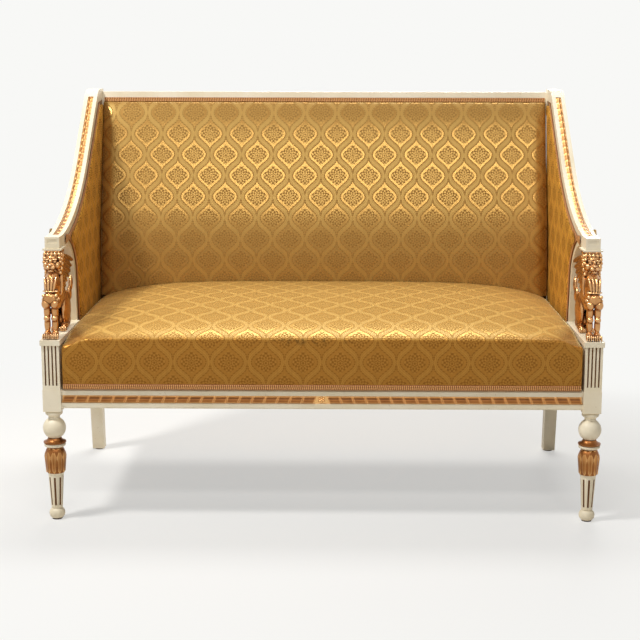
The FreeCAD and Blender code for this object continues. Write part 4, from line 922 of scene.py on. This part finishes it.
def braid_strip(name, points, place):
    """A braid to the right of a line of points. place takes a point of it and how far it stands out."""
    whole = length_of(points)
    rows = len(BRAID_RISE) - 1

    def at(u, w):
        (y, z), (dy, dz) = walk(points, u * whole * 0.9999)
        offset = w * BRAID_WIDE
        return place(y + dz * offset, z - dy * offset, BRAID_RISE[min(int(w * rows + 0.5), rows)])

    strip = shaped_grid(name, round(whole / 5), rows, at)
    layer = strip.data.uv_layers[0]
    layer.name = "cloth"
    for loop in layer.data:
        loop.uv = (loop.uv[0] * whole / 1000, loop.uv[1] * BRAID_WIDE / 1000)
    shape_with(strip, "SOLIDIFY", thickness=0.0005, offset=0)
    return strip


def finish_braid(braid, body, stands_for):
    point_outwards(braid)
    soften(braid, 60)
    finish_piece(braid, body, "gimp_braid", stands_for)


# Outlines of an arm seen from the side, as (y, z): the panel between the rails, and the pad inside its braid.
PANEL_TOP = bow((127.0, 634.0), (301.0, 680.6), (455.3, 773.5), 30) + [(639.9, 929.7)]
PANEL_FRONT = [(263.0, 422.0)] + bow((249.0, 556.0), (210.5, 605.2), (127.0, 634.0), 16)
PANEL = PANEL_TOP + [(696.0, 934.0), (552.5, 331.0), (547.0, 309.0), (263.0, 309.0)] + PANEL_FRONT[:-1]
PAD = (bow((190.5, 630.5), (334.3, 681.8), (462.3, 765.1), 26)
       + [(646.9, 921.2), (692.0, 922.6), (555.0, 346.0), (274.0, 346.0), (274.0, 422.0)]
       + bow((260.0, 556.0), (225.9, 605.8), (190.5, 630.5), 12)[:-1])


def arm_pattern(point):
    return point.y + 0.2, point.z - 0.60


def arm_cloth(name, side):
    """Inside pad, outside sheet and the braid along the edges of one arm."""
    puffs = ((1.5, -side * 1.6), (4, -side * 1.0), (14, -side * 0.7))
    inner = panel(f"arm_cushion_{name}", PAD, side * 590.6, puffs)
    thickened(inner, 1.2, -1, 60)
    lay_pattern(inner, arm_pattern)
    finish_piece(inner, "frame", "damask", f"arm_pad_{name}")
    inner.data.materials[0] = ARM_DAMASK

    outer = panel(f"outside_arm_cloth_{name}", PANEL, side * 626.2, ((4, side * 0.9), (20, side * 0.8)))
    thickened(outer, 1.1, 1, 60)
    lay_pattern(outer, arm_pattern)
    finish_piece(outer, "frame", "damask", f"outside_arm_cover_{name}")

    along_arm = braid_strip("braid", PANEL_TOP, lambda y, z, out: spot(side * (591.6 - out), y, z))
    up_front = braid_strip("braid", [(263.0, 345.0)] + PANEL_FRONT,
                           lambda y, z, out: spot(side * (591.4 - out), y, z))
    finish_braid(joined(f"arm_braid_{name}", [along_arm, up_front]), "frame", f"arm_gimp_{name}")


arm_cloth("left", -1)
arm_cloth("right", 1)

back_braid = braid_strip("back_braid", [(-585.0, 941.0), (585.0, 941.0)],
                         lambda x, z, out: spot(x, back_plane(z) - out - 0.6, z))
finish_braid(back_braid, "frame", "back_gimp")
seat_braid = braid_strip("seat_braid", [(-583.0, 321.5), (583.0, 321.5)],
                         lambda x, z, out: spot(x, 1.4 - out, z))
finish_braid(seat_braid, "seat", "seat_gimp")


def outside_back(u, w):
    """From the rear rail round the bend of the posts and up to the crest, a little full in the middle."""
    half_wide, low, tall, post_deep, full = 592, 272, 672, 27.0, 1.6
    z = low + tall * w
    y = max(POST_FOOT_Y, back_plane(z)) + post_deep
    return spot(half_wide * (2 * u - 1), y + full * math.sin(math.pi * u) * math.sin(math.pi * w), z)


rear_cloth = shaped_grid("outside_back_cloth", 40, 60, outside_back)
lay_pattern(rear_cloth, lambda point: (point.x, (point.z - 0.802) * 1.028))
thickened(rear_cloth, 1.1, 0, 60)
finish_piece(rear_cloth, "frame", "damask", "outside_back_cover")


def seat_lining(u, w):
    """Flat under the seat's frame, and a little slack in the middle."""
    half_wide, front, deep, high, slack = 551, 34.5, 467.5, 304.6, 2.5
    sag = slack * math.sin(math.pi * u) * math.sin(math.pi * w)
    return spot(half_wide * (2 * u - 1), front + deep * w, high - sag)


under_cloth = shaped_grid("seat_lining_cloth", 30, 16, seat_lining)
thickened(under_cloth, 0.7, 0, 60)
finish_piece(under_cloth, "seat", "dust_cloth", "seat_dust_cover")


# Floor, light and camera.
def seen_directly():
    """1 for what the camera sees, straight or by a mirror or glass, and 0 for light that bounces about."""
    path = node("LightPath")
    seen = node("Math", (path["Is Camera Ray"], path["Is Glossy Ray"]), operation="MAXIMUM")[0]
    return node("Math", (seen, path["Is Transmission Ray"]), operation="MAXIMUM")[0]


bpy.ops.object.select_all(action="DESELECT")
bpy.ops.mesh.primitive_plane_add(size=40)
floor = bpy.context.object
floor.name = "studio_floor"
studio = new_material("white_studio_floor")
# White paper that keeps the shadows near the sofa and goes over into the white backdrop further out.
way_out = node("VectorMath", (node("TexCoord")["Object"],), operation="LENGTH")["Value"]
plain = node("MapRange", {"Value": way_out, "From Min": 0.75, "From Max": 1.7, "To Min": 0.5, "To Max": 1.0},
             interpolation_type="SMOOTHSTEP")[0]
paper = node("BsdfDiffuse", {"Color": colour("#E6E4E0")})[0]
glow = node("Emission", {"Color": colour("#F8F8F6"), "Strength": 1.0})[0]
shown = node("MixShader", (plain, paper, glow))[0]
bounce = node("BsdfDiffuse", {"Color": colour("#EFEAE2")})[0]
mixed = node("MixShader", (seen_directly(), bounce, shown))[0]
node("OutputMaterial", (mixed,))
floor.data.materials.append(studio)

world = bpy.context.scene.world or bpy.data.worlds.new("studio")
bpy.context.scene.world = world
world.use_nodes = True
TREE = world.node_tree
TREE.nodes.clear()
ambient = node("Background", {"Color": colour("#FFFFFF"), "Strength": 0.05})[0]
white = node("Background", {"Color": colour("#F8F8F6"), "Strength": 1.0})[0]
mixed = node("MixShader", (seen_directly(), ambient, white))[0]
node("OutputWorld", (mixed,))


def soft_lamp(name, place, target, wide, tall, power):
    """A lamp with a soft rectangular face, turned to a target: metres and watts."""
    bpy.ops.object.light_add(type="AREA", location=place)
    lamp = bpy.context.object
    lamp.name = name
    lamp.data.shape = "RECTANGLE"
    lamp.data.size = wide
    lamp.data.size_y = tall
    lamp.data.energy = power
    lamp.rotation_euler = (Vector(target) - Vector(place)).to_track_quat("-Z", "Y").to_euler()


soft_lamp("key_lamp", (-2.15, -1.25, 3.8), (-0.1, 0.0, 0.6), 0.6, 0.6, 122)
soft_lamp("front_lamp", (0.15, -2.6, 2.96), (0.0, 0.28, 0.75), 2.4, 0.42, 37)
soft_lamp("top_lamp", (0.2, 1.45, 3.6), (0.0, -0.1, 0.45), 2.2, 1.2, 72)
soft_lamp("rear_lamp", (0.6, 3.4, 1.9), (0.0, 0.3, 0.4), 2.0, 1.0, 56)

# The camera, solved from the photograph: place in metres, angles in degrees, focal length in pixels.
CAMERA_PLACE = (0.0249, -3.4155, 1.0451)
TILT_DOWN, TURN, ROLL = 10.663, 0.543, 0.089
FOCAL, PICTURE_WIDE, SENSOR_WIDE = 1392.5, 640, 36
view = bpy.data.cameras.new("camera")
view.sensor_width = SENSOR_WIDE
view.lens = SENSOR_WIDE * FOCAL / PICTURE_WIDE
camera = bpy.data.objects.new("camera", view)
bpy.context.collection.objects.link(camera)
aim = Euler((math.radians(90 - TILT_DOWN), 0, math.radians(TURN))).to_matrix()
rolled = aim @ Matrix.Rotation(math.radians(ROLL), 3, "Z")
camera.matrix_world = Matrix.Translation(CAMERA_PLACE) @ rolled.to_4x4()
bpy.context.scene.camera = camera
bpy.context.scene.view_settings.view_transform = "Standard"
